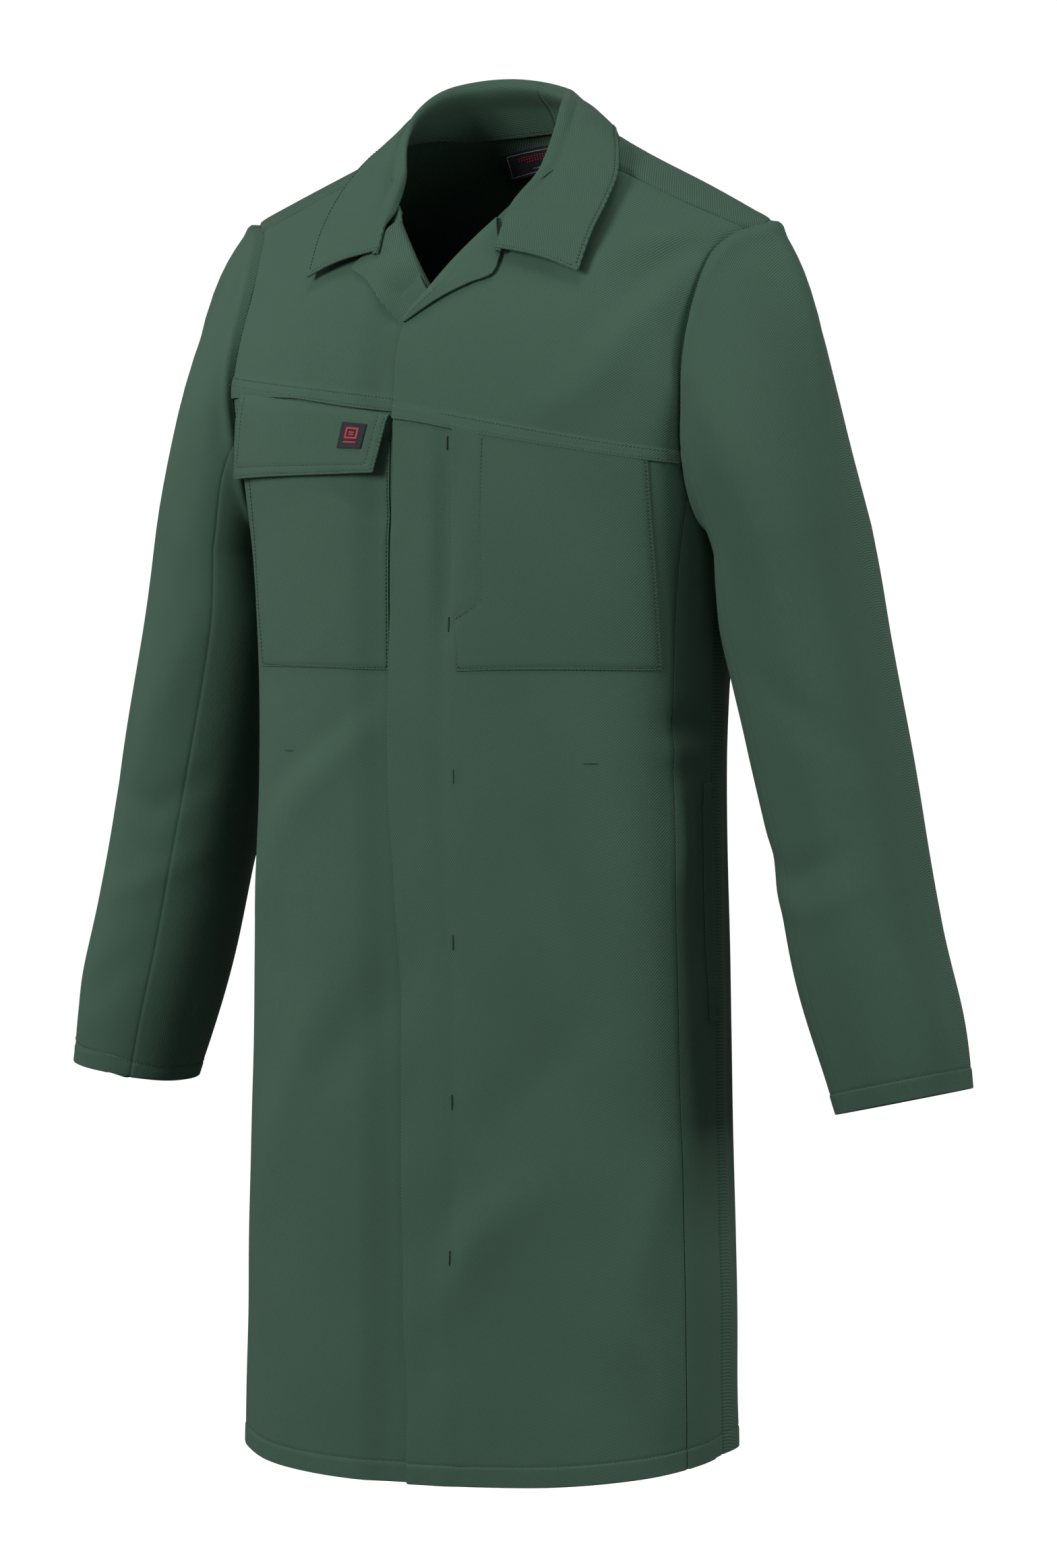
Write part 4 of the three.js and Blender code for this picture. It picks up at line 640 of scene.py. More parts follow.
def make_collar(side):
    nu = 120
    us = pts_mm(230, EDGE, [0], 2.3); us[-1] = 1
    # one line round the whole neck, read from each end to the middle
    a_all = COL_FOLD if side < 0 else COL_FOLD[::-1]; b_all = COL_OUT if side < 0 else COL_OUT[::-1]
    def mid_u(pts):
        d_ = np.r_[0, np.cumsum(np.linalg.norm(np.diff(pts, axis=0), axis=1))]; return d_[np.argmin(np.abs(pts[:, 0]))]/d_[-1]
    a = poly(a_all, us*mid_u(a_all)); b = poly(b_all, us*mid_u(b_all))
    # neck seam, where the leaf is sewn on
    foot_t = [(12.3, 1.006, 0), (14, 1.022, 0), (17, 1.044, 0), (21, 1.060, 0), (25, 1.0668, 0)]
    fp = [B(side*D(t_), np.array(h_)) for t_, h_, _ in foot_t]
    for t_, h_ in [(157, 1.100), (160.5, 1.086), (165, 1.076), (172, 1.0705), (180, 1.069)]: fp.append(back_body(np.array(side*D(t_)), np.array(h_)))
    fp = np.array(fp); fp[-1, 0] = 0; fp[:, 0] -= side*.0015*(np.abs(fp[:, 0]) > 1e-4); fp[5:, 1] -= .0022; fp[:, 2] += .001
    ffull = np.vstack([fp, (fp[:-1]*np.array([-1, 1, 1]))[::-1]])
    # part of the inner line before the fold starts has no stand
    u_g = .105
    uf = np.clip((us-u_g)/(1-u_g), 0, 1)
    f = poly(ffull, uf*.5)
    stand = smooth(u_g*.75, u_g*1.75, us)[:, None]
    dirn = b-a; dirn[:, 2] = 0; dirn = unit(dirn)
    k = np.sin(np.pi*np.clip((us*.5-.08)/.84, 0, 1))[:, None]
    zup = np.array([0, 0, 1.])
    fe = a*(1-stand) + f*stand - (1-stand)*(zup*.002) + (1-stand)*dirn*.004
    mid = lerp(a, b, .42) + zup*(.006+.009*k) + dirn*(.002+.003*k)
    roll = stand*.0048
    p = [fe,
         lerp(fe, a, .5) - dirn*.0012*stand,
         a - dirn*(roll*.9) - zup*(.0030*stand) - zup*.0010*(1-stand),
         a - dirn*(roll*.35) + zup*(.0010*stand),
         a + dirn*(roll*.35) + zup*(.0014*stand) + zup*.0002,
         a + dirn*(.0035 + roll*.75) + zup*(-.0012*stand + .0006),
         .49*a + .42*mid + .09*b,
         .25*a + .5*mid + .25*b,
         .09*a + .42*mid + .49*b,
         b]
    p = np.array(p)                      # nv_ctrl, nu, 3
    seglen = np.linalg.norm(np.diff(p[:, nu//2 if nu//2 < p.shape[1] else -2], axis=0), axis=-1); dcum = np.r_[0, np.cumsum(seglen)]; dcum /= dcum[-1]
    vs = pts_mm(115, [0, .6, 1.4, 3], EDGE, 1.7)
    # Catmull-Rom across
    G = np.zeros((len(vs), len(us), 3))
    dx = np.diff(dcum); m = np.zeros_like(p); dy = np.diff(p, axis=0)/dx[:, None, None]
    m[1:-1] = (dy[:-1]*dx[1:, None, None] + dy[1:]*dx[:-1, None, None])/(dx[:-1]+dx[1:])[:, None, None]; m[0] = dy[0]; m[-1] = dy[-1]
    for i, v in enumerate(vs):
        j = min(max(np.searchsorted(dcum, v, side='right')-1, 0), len(dx)-1); t = (v-dcum[j])/dx[j]; t2 = t*t; t3 = t2*t
        G[i] = (2*t3-3*t2+1)*p[j] + (t3-2*t2+t)*dx[j]*m[j] + (-2*t3+3*t2)*p[j+1] + (t3-t2)*dx[j]*m[j+1]
    N = grid_normals(G)
    out_ref = G[-12, len(us)//3] - np.array([0, 0, G[-12, len(us)//3, 2]])
    if np.sum(N[-12, len(us)//3]*out_ref) < 0: N = -N
    # mirror-smooth normals at the centre back
    N[:, -1, 0] = 0; N = unit(N)
    dl = np.concatenate([np.zeros((1, len(us))), np.cumsum(np.linalg.norm(np.diff(G, axis=0), axis=-1), 0)], 0)
    du = np.concatenate([np.zeros((len(vs), 1)), np.cumsum(np.linalg.norm(np.diff(G, axis=1), axis=-1), 1)], 1)
    dout = dl[-1:]-dl; dend = np.where(dl > dl[-1:]*.30, du, du+.01)
    off = groove(dout-.0021, .0007, .00035) + groove(dend-.0021, .0007, .00035)*(dl > .03)
    off = off + .0005*np.sin(us*26+1)[None, :]*smooth(.0, .02, dout)*np.sin(np.clip(dout/.06, 0, 1)*np.pi)
    uv = np.stack([du, dl], -1)
    ob = shell(f"collar_{'left' if side > 0 else 'right'}", G, N, off, .0021, M_COLLAR, uv=uv, round_=(1, 0, 1, 1))
    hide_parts("collar_fall", "collar_stand")
    move_front(ob); PIECES.append(ob)
    k_out = np.array([np.interp(.0021, dout[::-1, j], np.arange(len(vs))[::-1]) for j in range(len(us))])
    def samp(M, kk, jj):
        i0 = np.clip(np.floor(kk).astype(int), 0, len(vs)-2); fr = kk-i0
        return M[i0, jj]*(1-fr)[:, None] + M[i0+1, jj]*fr[:, None]
    jj = np.arange(5, len(us)); P_ = samp(G, k_out[jj], jj); Nn = samp(N, k_out[jj], jj)
    ST[side].run(P_ + Nn*(.00105+.0000), Nn)
    j2 = int(np.argmin(np.abs(du[-1]-.0021)))
    rows = np.arange(int(len(vs)*.28), len(vs)-5)
    ST[side].run(G[rows, j2] + N[rows, j2]*.00105, N[rows, j2])
    # inside, just above the neck seam
    iv = int(np.argmin(np.abs(dl[:, -1]-.0026))); jj = np.arange(int(len(us)*.22), len(us))
    ST["coat"].run(G[iv, jj] - N[iv, jj]*.00105, -N[iv, jj]) if False else ST["coat"].run(G[iv, jj] + N[iv, jj]*.00105, N[iv, jj])
    ST["coat"].run(G[iv, jj] - N[iv, jj]*.00110, -N[iv, jj])
    return ob
for s_ in (1, -1): make_collar(s_)

# ------------------------------------------------------------------ lapels
def make_lapel(side):
    if side > 0:
        roll = [(-4.5, .9125), (-2.7, .9230), (-.2, .9345), (3.8, .958), (7.8, .982), (10.5, .9985)]
        outr = [(-4.2, .9112), (.6, .9235), (4.6, .9340), (8.6, .9445), (12.9, .9570), (13.4, .9720)]
    else:
        roll = [(6.4, .9020), (3.2, .920), (-.6, .937), (-4.2, .960), (-8.2, .984), (-10.6, .9990)]
        outr = [(-3.6, .9010), (-7.0, .918), (-10.2, .9340), (-14.4, .9560), (-18.3, .9720), (-14.6, .9800)]
    us = pts_mm(110, [0, 1, 2.5, 4.5], [0, .5, 1.2, 2.2, 3.6], 2.2)
    rl = poly(pr(roll), us); ou = poly(pr(outr), us)
    if side > 0: crn = .80
    A, nA = S(D(rl[:, 0]/.004), rl[:, 1]); Bp, nB = S(D(ou[:, 0]/.004), ou[:, 1])
    wid = np.linalg.norm(Bp-A, axis=-1)
    dirn = unit(Bp-A); q = np.clip(wid/.012, .12, 1)[:, None]
    def on_surf(fr, o):
        tt = lerp(rl[:, 0], ou[:, 0], fr); hh = lerp(rl[:, 1], ou[:, 1], fr); P_, n_ = S(D(tt/.004), hh); return P_ + n_*np.asarray(o).reshape(-1, 1)
    drop = 0.0
    ctrl = [A + dirn*.006*q - nA*.0022, A + dirn*.0015*q - nA*.0020, A - dirn*.0012*q + nA*.0004, A + dirn*.0002*q + nA*.0030*(.5+.5*q), A + dirn*.0040*q + nA*.0044*(.4+.6*q),
            on_surf(.55, .0046*(.4+.6*q[:, 0])), on_surf(1.0, .0034*(.55+.45*q[:, 0]))]
    p = np.array(ctrl)
    if side < 0:      # its lower end runs in behind the left front
        p = p - nA[None]*(.0100*smooth(-.046, -.019, p[..., 0])*(1-smooth(.925, .952, p[..., 2])))[..., None]
    seg = np.linalg.norm(np.diff(p[:, len(us)*2//3], axis=0), axis=-1); dc = np.r_[0, np.cumsum(seg)]; tot = dc[-1]; dc = dc/tot
    vs = pts_mm(tot*1000, [0, .5, 1.2], EDGE, .9)
    dx = np.diff(dc); m = np.zeros_like(p); dy = np.diff(p, axis=0)/dx[:, None, None]
    m[1:-1] = (dy[:-1]*dx[1:, None, None] + dy[1:]*dx[:-1, None, None])/(dx[:-1]+dx[1:])[:, None, None]; m[0] = dy[0]; m[-1] = dy[-1]
    G = np.zeros((len(vs), len(us), 3))
    for i, v in enumerate(vs):
        j = min(max(np.searchsorted(dc, v, side='right')-1, 0), len(dx)-1); t = (v-dc[j])/dx[j]; t2 = t*t; t3 = t2*t
        G[i] = (2*t3-3*t2+1)*p[j] + (t3-2*t2+t)*dx[j]*m[j] + (-2*t3+3*t2)*p[j+1] + (t3-t2)*dx[j]*m[j+1]
    N = grid_normals(G)
    k = -6
    if np.sum(N[k, len(us)//2]*nB[len(us)//2]) < 0: N = -N
    ob = shell(f"lapel_{'left' if side > 0 else 'right'}", G, N, 0.0, .0017, M_LAPEL)
    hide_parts(f"lapel_{'left' if side > 0 else 'right'}"); move_front(ob); PIECES.append(ob)
for s_ in (1, -1): make_lapel(s_)

# ------------------------------------------------------------------ chest pockets
def surf_patch(name, X, Z, off, th, mat, nodes, move="front", uv=None, round_=(1, 1, 1, 1)):
    T = t_of_x(X, Z+.01); H = h_of_z(T, Z)
    for _ in range(3): T = t_of_x(X, H); H = h_of_z(T, Z)
    if uv is None: uv = np.stack([X*1.12+.5, Z], -1)
    return body_sheet(name, T, H, off, th, mat, nodes, move=move, uv=uv, round_=round_), T, H
def line_on(xs, zs, off, n=80):
    u = np.linspace(0, 1, n); X = np.interp(u, np.linspace(0, 1, len(xs)), xs); Z = np.interp(u, np.linspace(0, 1, len(zs)), zs)
    T = t_of_x(X, Z+.01); H = h_of_z(T, Z)
    for _ in range(3): T = t_of_x(X, H); H = h_of_z(T, Z)
    o = off(X, Z) if callable(off) else off
    return S(T, H, off=o)
# left: side-entry pocket whose top is caught in the yoke seam
us = pts_mm(160, EDGE, EDGE, 3.2); vs = pts_mm(185, EDGE, [0], 3.2)
V_, U_ = np.meshgrid(vs, us, indexing="ij")
xl = lerp(.0372, .0334, smooth(0, .35, V_)); xr = lerp(.1848, .1815, V_)
X = lerp(xl, xr, U_); zb = .6375 + .0012*np.sin(U_*np.pi) + .0015*U_; zt = yoke_z(1, X) - .0035 + .0065
Z = lerp(zb, zt, V_)
dL = (X-xl); dR = (xr-X); dBt = Z-zb
offp = .0017 + .0008*np.exp(-(dL/.004)**2)*smooth(.676, .690, Z) - .0005*smooth(.006, .0, np.minimum(dR, dBt))
offp = offp + groove(dBt-.0016, .0008, .0004) + groove(dR-.0016, .0008, .0004) + np.where(Z < .678, groove(dL-.0016, .0008, .0004), 0)
facing = np.where(Z > .690, .0250, .0250*np.clip((Z-.6765)/.0135, 0, 1)) 
offp = offp + groove(dL-facing, .0013, .0012)*(Z > .677) + .0004*(dL < facing)*(Z > .677)
offp = offp + .0010*np.sin(np.clip(dL/.15, 0, 1)*np.pi)*np.sin(np.clip((Z-.64)/.17, 0, 1)*np.pi)
surf_patch("chest_pocket_left", X, Z, offp, .0012, M_POCKET, ["chest_pocket_left"])
pz = lambda X, Z: .0022 + .0006 - .0003
for xs, zs in (([.0388, .0386], [.6390, .6765]), ([.0388, .1832], [.6392, .6407]), ([.1832, .1803], [.6407, .796])):
    P_, N_ = line_on(xs, zs, .0018); ST[1].run(P_, N_)
P_, N_ = line_on([.0372, .0372+.0005, .0600, .0588, .0585], [.6765, .6768, .6900, .75, .8150], .0024, 120); ST[1].run(P_, N_)
# right: flapped pocket
us = pts_mm(160, EDGE, EDGE, 3.2); vs = pts_mm(185, EDGE, [0], 3.2); V_, U_ = np.meshgrid(vs, us, indexing="ij")
xi = -.0280 + 0*V_; xo = lerp(-.168, -.183, V_); X = lerp(xo, xi, U_); zb = .6368 + .0030*U_*0 + .0010*np.sin(U_*np.pi); zt = .812 + 0*U_; Z = lerp(zb, zt, V_)
dI = xi-X; dO = X-xo; dBt = Z-zb
offr = .0014 + groove(dBt-.0016, .0008, .0004) + groove(dI-.0016, .0008, .0004) + groove(dO-.0016, .0008, .0004) - .0004*smooth(.005, 0, np.minimum(dBt, np.minimum(dI, dO)))
offr = offr + .0014*np.sin(np.clip(dO/.14, 0, 1)*np.pi)*np.sin(np.clip((Z-.64)/.17, 0, 1)*np.pi)
surf_patch("chest_pocket_right", X, Z, offr + under_drop(X), .0009, M_POCKET, ["chest_pocket_right"])
ud = lambda o: (lambda X, Z: o + under_drop(X))
for xs, zs in (([-.0296, -.0296], [.6385, .80]), ([-.0296, -.1665], [.6384, .6384]), ([-.1665, -.1800], [.6384, .79])):
    P_, N_ = line_on(xs, zs, ud(.0016)); ST[-1].run(P_, N_)

# ------------------------------------------------------------------ flap and patch
def flap_xz(u, v):
    x = lerp(lerp(-.189, -.027, u), lerp(-.197, -.0355, u), v); z = lerp(lerp(.8492, .8312, u), lerp(.7835, .7875, u), v)
    return x, z
def flap_off(u, v): return .0030 + .0046*v + .0016*np.sin(v*np.pi)*0 - .0012*np.exp(-((v-.0)/.06)**2)
us = pts_mm(165, EDGE + [7.4, 8.2, 8.9, 10.5], EDGE + [7.4, 8.2, 8.9, 10.5], 3.0); vs = pts_mm(66, [0, .5, 1.2, 2.4], EDGE + [7.4, 8.2, 8.9, 10.5], 2.6)
V_, U_ = np.meshgrid(vs, us, indexing="ij"); X, Z = flap_xz(U_, V_)
d_i = (1-U_)*165*MM; d_o = U_*165*MM; d_b = (1-V_)*66*MM; dm = np.minimum(np.minimum(d_i, d_o), d_b)
offf = flap_off(U_, V_) + under_drop(X)*.35 + groove(dm-.0016, .0008, .0004) + groove(dm-.0085, .0009, .0005) + .0014*smooth(.03, 0, d_i)*V_ + .0012*np.sin(U_*9)*V_*.5
T = t_of_x(X, Z+.01); H = h_of_z(T, Z)
for _ in range(3): T = t_of_x(X, H); H = h_of_z(T, Z)
G0 = B(T, H); N = normal(B, T, H); ref = G0.copy(); ref[..., 2] = 0; N = np.where(np.sum(N*ref, -1, keepdims=True) < 0, -N, N)
FL_G, FL_N, FL_O = G0, N, offf + fold(G0)
flap = shell("pocket_flap", G0, N, FL_O, .0018, M_POCKET, uv=np.stack([X*1.12+.5, Z], -1))
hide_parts("pocket_flap"); PIECES.append(flap)
def flap_bilerp(A, u, v):
    iu = np.interp(u, us, np.arange(len(us))); iv = np.interp(v, vs, np.arange(len(vs)))
    i0 = np.clip(np.floor(iv).astype(int), 0, len(vs)-2); j0 = np.clip(np.floor(iu).astype(int), 0, len(us)-2); a = iv-i0; b = iu-j0
    if A.ndim == 3: a = a[..., None]; b = b[..., None]
    return A[i0, j0]*(1-a)*(1-b) + A[i0+1, j0]*a*(1-b) + A[i0, j0+1]*(1-a)*b + A[i0+1, j0+1]*a*b
def on_flap(u, v, o): 
    g = flap_bilerp(FL_G, u, v); n = unit(flap_bilerp(FL_N, u, v)); f = flap_bilerp(FL_O, u, v)
    return g + n*(f+o)[..., None], n
def flap_line(u0, v0, u1, v1, o=.0009, n=60):
    k = np.linspace(0, 1, n); return on_flap(lerp(u0, u1, k), lerp(v0, v1, k), np.full(n, o))
for dd in (1.6, 8.5):
    a, b, c = dd/165, 1-dd/165, 1-dd/66
    for q_ in ((a, .03, a, c), (a, c, b, c), (b, c, b, .03)):
        P_, N_ = flap_line(*q_); ST["flap"].run(P_, N_)
def flap_piece(name, u0, u1, v0, v1, o, th, mat, nodes=None, nu=26, nv=20):
    u = np.linspace(u0, u1, nu); v = np.linspace(v0, v1, nv); Vm, Um = np.meshgrid(v, u, indexing="ij")
    P_, n_ = on_flap(Um, Vm, np.full(Um.shape, o)); ob = shell(name, P_, n_, 0.0, th, mat)
    if nodes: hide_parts(*nodes)
    return ob
FLAPS = [flap]
patch = flap_piece("flap_patch", .765, .905, .20, .60, .0016, .0008, M_LABEL, ["flap_patch"]); FLAPS.append(patch); PIECES.append(patch)
# generic woven mark: an open red frame with three bars, and a dark border of small stitches
pu = lambda a: lerp(.765, .905, a); pv = lambda a: lerp(.20, .60, a)
mk = 0
for (a0, b0, a1, b1) in ((.24, .18, .76, .24), (.24, .56, .76, .62), (.24, .24, .31, .56), (.69, .24, .76, .56), (.40, .34, .60, .39), (.40, .43, .60, .48), (.24, .74, .76, .79)):
    mk += 1
    FLAPS.append(flap_piece(f"patch_mark_{mk}", pu(a0), pu(a1), pv(b0), pv(b1), .0022, .0003, M_RED, nu=8, nv=5))
sp = Stitches()
for q_ in ((.04, .05, .96, .05), (.04, .95, .96, .95), (.04, .05, .04, .95), (.96, .05, .96, .95)):
    P_, N_ = flap_line(pu(q_[0]), pv(q_[1]), pu(q_[2]), pv(q_[3]), .0020, 20); sp.run(P_, N_, pitch=.0016, length=.0012, r=.00022)
o_ = sp.build("patch_stitches", mat=thread_mat("thread_label", (.05, .05, .06))); FLAPS.append(o_)
fs = ST["flap"].build("stitches_flap"); FLAPS.append(fs)
for o_ in FLAPS:
    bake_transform(o_)

# ------------------------------------------------------------------ inner strips, bags, welts
def simple_patch(name, X, Z, off, th, mat, nodes, move="front", uv=None):
    return surf_patch(name, X, Z, off, th, mat, nodes, move=move, uv=uv)[0]
zz = np.linspace(.100, .822, 150)
xe = np.maximum(edge_x(zz)+.0015, -.024)
for_u = pts_mm(48, EDGE, EDGE, 4)
X = xe[:, None] + (.0255-xe[:, None])*for_u[None]; Z = np.repeat(zz[:, None], len(for_u), 1)
simple_patch("fly_strip", X, Z, -.0019 + .0003*np.sin(Z*90), .0010, M_LINING, ["fly_strip"])
zz = np.linspace(.024, .826, 160); X = np.repeat((-.020 + (.029+.020)*for_u)[None], len(zz), 0); Z = np.repeat(zz[:, None], len(for_u), 1)
simple_patch("underlap_facing", X, Z, -.0054 - .0023, .0010, M_LINING, ["underlap_facing"])
for side in (1, -1):
    nm = 'left' if side > 0 else 'right'
    deg = np.linspace(82.5, 89.2, 22); hh = np.linspace(.372, .552, 80)
    Hm, Dm = np.meshgrid(hh, deg, indexing="ij")
    e = np.minimum((89.2-Dm)/6.7*.024, 1)
    ob = body_sheet(f"side_welt_{nm}", side*D(Dm), Hm, .0016 + .0014*np.exp(-((88.4-Dm)/1.2)**2)*smooth(.372, .39, Hm)*smooth(.552, .535, Hm), .0012, M_FRONT, [f"side_welt_{nm}"], move="coat", uv=np.stack([.24+(Dm-66)*.0033, Hm], -1))
    tl = side*D(np.full(60, 88.1)); P_, N_ = S(tl, np.linspace(.375, .549, 60), off=.0016+.0013+.0006); ST["coat"].run(P_, N_)
    deg = np.linspace(41 if side > 0 else 39, 64.5, 40); hh = np.linspace(.330, .562, 70); Hm, Dm = np.meshgrid(hh, deg, indexing="ij")
    ob = body_sheet(f"pocket_bag_{nm}", side*D(Dm), Hm, -.0020 - .0012*np.sin((Hm-.33)/.232*np.pi)*np.sin((Dm-39)/26*np.pi), .0009, M_LINING, [f"pocket_bag_{nm}"], move="front")

# neck label
hh = np.linspace(1.043, 1.066, 22); xs = np.linspace(-.052, .042, 60)
Hm, Xm = np.meshgrid(hh, xs, indexing="ij"); Tm = np.pi - t_of_x(Xm, Hm)
G0 = B(Tm, Hm); N = normal(B, Tm, Hm); ref = G0.copy(); ref[..., 2] = 0; N = np.where(np.sum(N*ref, -1, keepdims=True) < 0, -N, N)
lab = shell("neck_label", G0, N, -.0072 - .0010*smooth(1.066, 1.043, Hm), .0009, M_LABEL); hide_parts("neck_label"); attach(lab, "coat"); PIECES.append(lab)
sp = Stitches()
def lab_line(x0, h0, x1, h1, n=40, o=-.0072-.0010-.0006):
    x = np.linspace(x0, x1, n); h = np.linspace(h0, h1, n); t = np.pi - t_of_x(x, h); g = B(t, h); n_ = normal(B, t, h); rf = g.copy(); rf[..., 2] = 0
    n_ = np.where(np.sum(n_*rf, -1, keepdims=True) < 0, -n_, n_); oo = -.0072 - .0010*smooth(1.066, 1.043, h) - .00055
    return g + n_*oo[:, None], -n_
for q_ in ((-.047, 1.0455, .037, 1.0455), (-.047, 1.0635, .037, 1.0635), (-.047, 1.0455, -.047, 1.0635), (.037, 1.0455, .037, 1.0635)):
    P_, N_ = lab_line(*q_); sp.run(P_, N_, pitch=.0013, length=.00125, r=.00028)
o_ = sp.build("label_border", move="coat", mat=M_WHITE, slot="woven_label")
sp = Stitches()
for h_, a_, b_ in ((1.0595, -.040, .030), (1.0575, -.040, .030), (1.0555, -.034, .024)):
    P_, N_ = lab_line(a_, h_, b_, h_); sp.run(P_, N_, pitch=.0022, length=.0021, r=.0005)
o_ = sp.build("label_bars", move="coat", mat=M_RED, slot="woven_label")
sp = Stitches(); P_, N_ = lab_line(-.030, 1.0495, .020, 1.0495); sp.run(P_, N_, pitch=.0016, length=.0015, r=.0003)
o_ = sp.build("label_line", move="coat", mat=M_WHITE, slot="woven_label")

# ------------------------------------------------------------------ snaps
def lathe(name, profile, centre, mat, nodes, seg=28, nrm=(0, -1, 0), move="front"):
    pr_ = np.array(profile)*MM; A = np.linspace(0, 2*np.pi, seg, endpoint=False)
    n = np.array(nrm, float); u = np.array([1., 0, 0]); u = unit(u - n*(u @ n)); w = np.cross(n, u)
    V = []
    for r_, z_ in pr_: V.append(centre + n*z_ + r_*(np.cos(A)[:, None]*u + np.sin(A)[:, None]*w))
    V = np.concatenate(V); F = []
    m = len(pr_)
    for k in range(m-1):
        for a in range(seg):
            b = (a+1) % seg; F.append([k*seg+a, k*seg+b, (k+1)*seg+b, (k+1)*seg+a])
    ob = new_obj(name, V, np.array(F), np.zeros((len(V), 2)), mat)
    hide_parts(*nodes)
    if move == "front": move_front(ob)
    else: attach(ob, move)
    return ob
for k, z in enumerate([.741, .615, .494, .369, .249, .868]):
    tag = "top" if k == 5 else str(k+1)
    t = t_of_x(.002, z); h = h_of_z(t, z)
    p, n_ = S(np.array([t]), np.array([h]), off=0.0); p = p[0]; n_ = n_[0]
    so = -.0031 + (.0009 if k == 5 else 0); st = -.0042 + (.0006 if k == 5 else 0)
    lathe(f"snap_socket_{tag}", [(.02, -.5), (2.2, -.5), (2.3, -.2), (3.0, -.2), (3.2, -.45), (4.4, -.5), (5.3, -.3), (5.5, 0), (5.3, .3), (4.0, .4), (.02, .4)], p + n_*so, M_METAL, [f"snap_socket_{tag}"], nrm=n_)
    lathe(f"snap_stud_{tag}", [(.02, .75), (1.2, .72), (1.7, .5), (1.5, .15), (1.8, .05), (3.4, .12), (4.8, .0), (5.0, -.15), (4.7, -.3), (.02, -.3)], p + n_*st, M_METAL, [f"snap_stud_{tag}"], nrm=n_)

# ------------------------------------------------------------------ bar tacks
def bartack(name, x, z, length, width, vertical, off, nodes):
    s = Stitches(); t = float(t_of_x(x, z)); h = float(h_of_z(t, z))
    n = 17
    def pt(du, dv):
        tt = t_of_x(x+du, h); hh = h+dv; q, nn = S(np.array([tt]), np.array([hh]), off=off); return q[0], nn[0]
    for k in range(n):
        f_ = (k/(n-1)-.5)*length
        a, b = ((-width/2, f_), (width/2, f_+.0003)) if vertical else ((f_, -width/2), (f_+.0003, width/2))
        p0, n0 = pt(*a); p1, n1 = pt(*b)
        s.run(np.array([p0, (p0+p1)/2+n0*.0001, p1]), np.array([n0, n0, n1]), pitch=width*.98, length=width*.98, r=.00034, lift=.0001)
    for e_ in (-1, 1):
        pa, na = (pt(e_*width*.25, -length/2) if vertical else pt(-length/2, e_*width*.25)); pb, nb = (pt(e_*width*.25, length/2) if vertical else pt(length/2, e_*width*.25))
        s.run(np.array([pa, pb]), np.array([na, nb]), pitch=length*.97, length=length*.97, r=.0003, lift=-.0001)
    ob = s.build(name, mat=M_THREAD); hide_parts(*nodes); move_front(ob)
    return ob
for k, (x, z) in enumerate([(.0277,.8095),(.0294,.6723),(.0333,.5573),(.0300,.4302),(.0277,.3083),(.0256,.1887)]):
    bartack(f"fly_bartack_{k+1}", x, z, .0105, .0016, True, TH/2+.0003, [f"fly_bartack_{k+1}"])
bartack("bag_bartack_left", .1428, .569, .009, .0016, False, TH/2, ["bag_bartack_left"])
bartack("bag_bartack_right", -.1312, .572, .009, .0016, False, TH/2-.0004, ["bag_bartack_right"])

ST[1].build("stitches_front_left", move="front", side=1); ST[-1].build("stitches_front_right", move="front", side=-1)
ST["coat"].build("stitches_coat", move="coat"); ST["sl"].build("stitches_sleeve_left", move="sleeve", side=1); ST["sr"].build("stitches_sleeve_right", move="sleeve", side=-1)

# ------------------------------------------------------------------ cloth facts
def area_of(ob):
    a = np.zeros(len(ob.data.polygons), np.float32); ob.data.polygons.foreach_get("area", a); return float(a.sum())/2
for ob in PIECES:
    a = area_of(ob)

# ------------------------------------------------------------------ floor, light, camera
def floor():
    """flat disc that curves up into a round wall, far outside every camera"""
    n = 64; rs = np.r_[np.linspace(.0001, 24, 8), 24 + 12*np.sin(np.linspace(0, np.pi/2, 12))[1:], np.full(5, 36.0)]
    zs = np.r_[np.zeros(8), 12 - 12*np.cos(np.linspace(0, np.pi/2, 12))[1:], np.linspace(15, 40, 5)]
    V = np.array([(r*math.sin(2*math.pi*k/n), r*math.cos(2*math.pi*k/n), z - .62) for r, z in zip(rs, zs) for k in range(n)])
    F = [[i*n+k, i*n+(k+1)%n, (i+1)*n+(k+1)%n, (i+1)*n+k] for i in range(len(rs)-1) for k in range(n)]
    m = bpy.data.materials.new("floor_white"); m.use_nodes = True; bs = m.node_tree.nodes["Principled BSDF"]; bs.inputs["Base Color"].default_value = (.88, .88, .88, 1); bs.inputs["Roughness"].default_value = .9; bs.inputs["Specular IOR Level"].default_value = .1
    bs.inputs["Emission Color"].default_value = (1, 1, 1, 1); bs.inputs["Emission Strength"].default_value = 1.0
    ob = new_obj("floor", V, np.array(F), None, m); return ob
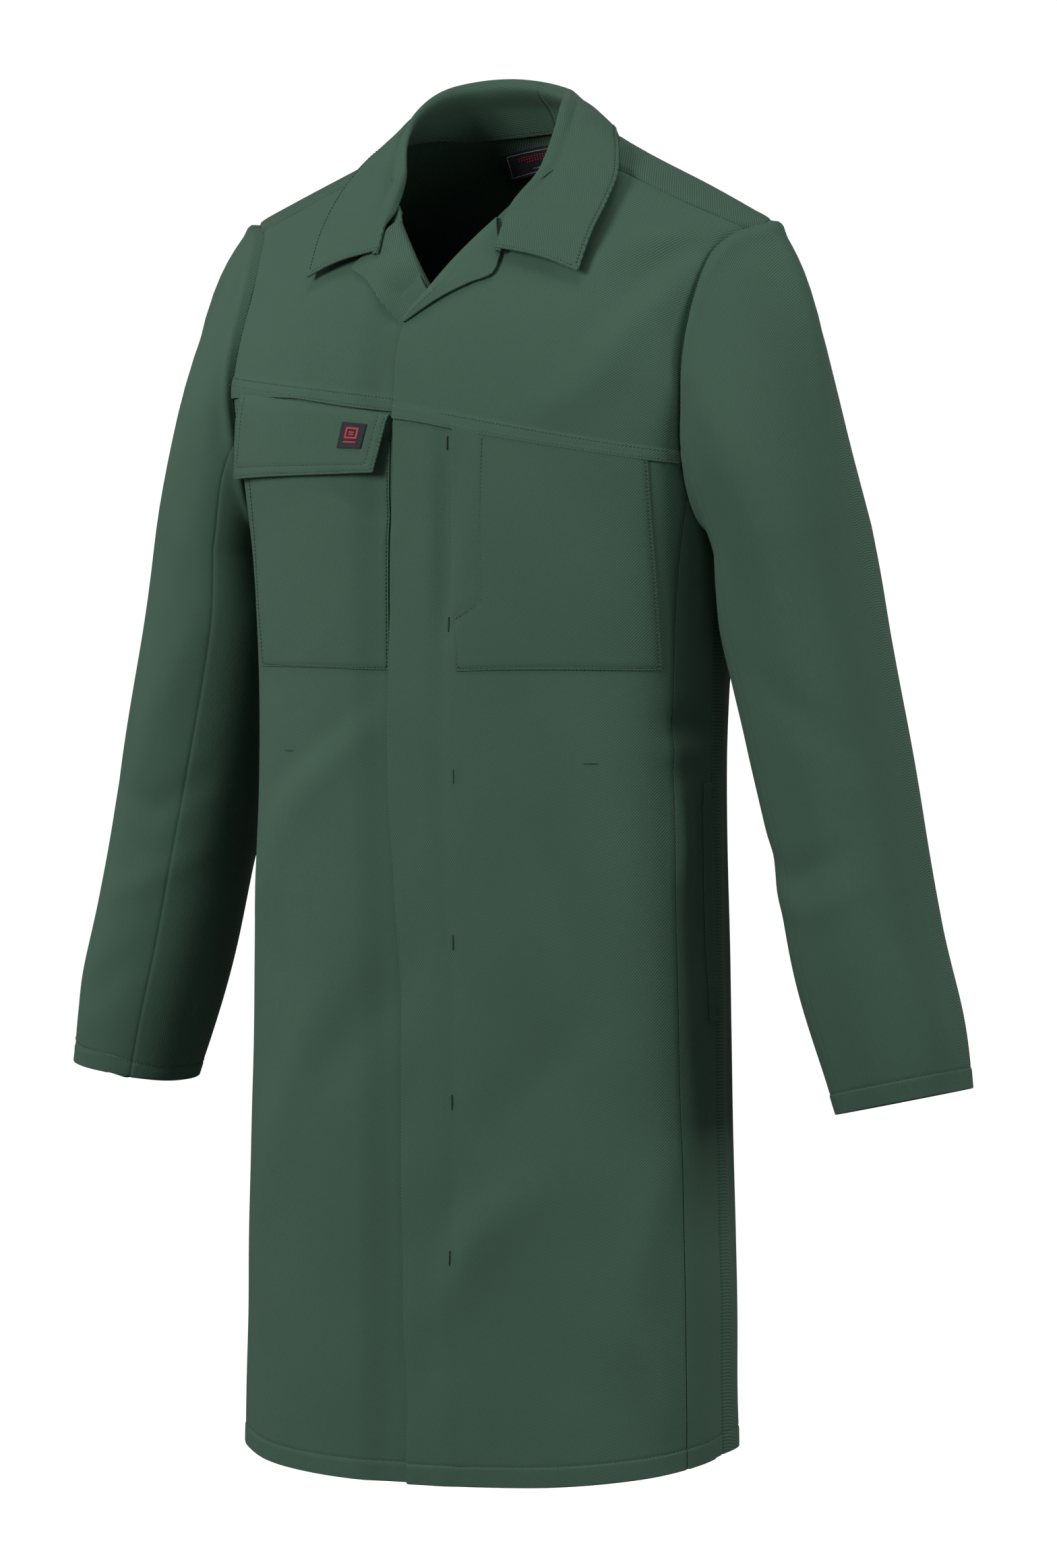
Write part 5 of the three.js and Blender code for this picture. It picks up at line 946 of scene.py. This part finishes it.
FLOOR = floor(); FLOOR.visible_diffuse = False; FLOOR.visible_glossy = False; FLOOR.visible_shadow = False
def area_light(name, az, el, dist, size, power, color=(1, 1, 1)):
    """az as the camera's azimuth, 0 in front"""
    l = bpy.data.lights.new(name, "AREA"); l.shape = "RECTANGLE"; l.size = size[0]; l.size_y = size[1]; l.energy = power; l.color = color
    o = bpy.data.objects.new(name, l); a = D(az); e = D(el); tgt = Vector((0, -.05, .62)) - Vector(NECK)
    p = tgt + Vector((math.sin(a)*math.cos(e), -math.cos(a)*math.cos(e), math.sin(e)))*dist
    o.location = p; o.rotation_euler = (tgt-p).to_track_quat('-Z', 'Y').to_euler(); bpy.context.scene.collection.objects.link(o); return o
area_light("key", -22, 20, 3.5, (1.0, 1.4), 80)
area_light("fill", 93, 15, 3.9, (1.0, 1.8), 60)
area_light("top", 25, 76, 3.0, (1.6, 1.0), 22)
area_light("rim_left", -80, 6, 3.4, (.9, 1.8), 16)
area_light("rear", 180, 35, 3.6, (2.4, 2.4), 14)
area_light("low", 48, -8, 3.6, (1.2, 1.2), 9)
w = bpy.data.worlds.new("studio") if not bpy.context.scene.world else bpy.context.scene.world
bpy.context.scene.world = w; w.use_nodes = True
bg = w.node_tree.nodes.get("Background") or w.node_tree.nodes.new("ShaderNodeBackground")
bg.inputs["Color"].default_value = (1, 1, 1, 1); bg.inputs["Strength"].default_value = .07
AZ = D(33.0); C = np.array([math.sin(AZ)*4.5, -math.cos(AZ)*4.5, .78])
r_ = np.array([math.cos(AZ), math.sin(AZ), 0.]); tgt = np.array([0, 0, .545]) + r_*(34/8572*4.5)
cd = bpy.data.cameras.new("camera"); cam = bpy.data.objects.new("camera", cd); bpy.context.scene.collection.objects.link(cam)
cam.location = Vector(C - NECK); cam.rotation_euler = (Vector(tgt) - Vector(C)).to_track_quat('-Z', 'Y').to_euler()
cd.sensor_fit = "HORIZONTAL"; cd.sensor_width = 36; cd.lens = 8572*36/1568; cd.clip_end = 100
bpy.context.scene.camera = cam
bpy.context.scene.view_settings.view_transform = "Standard"
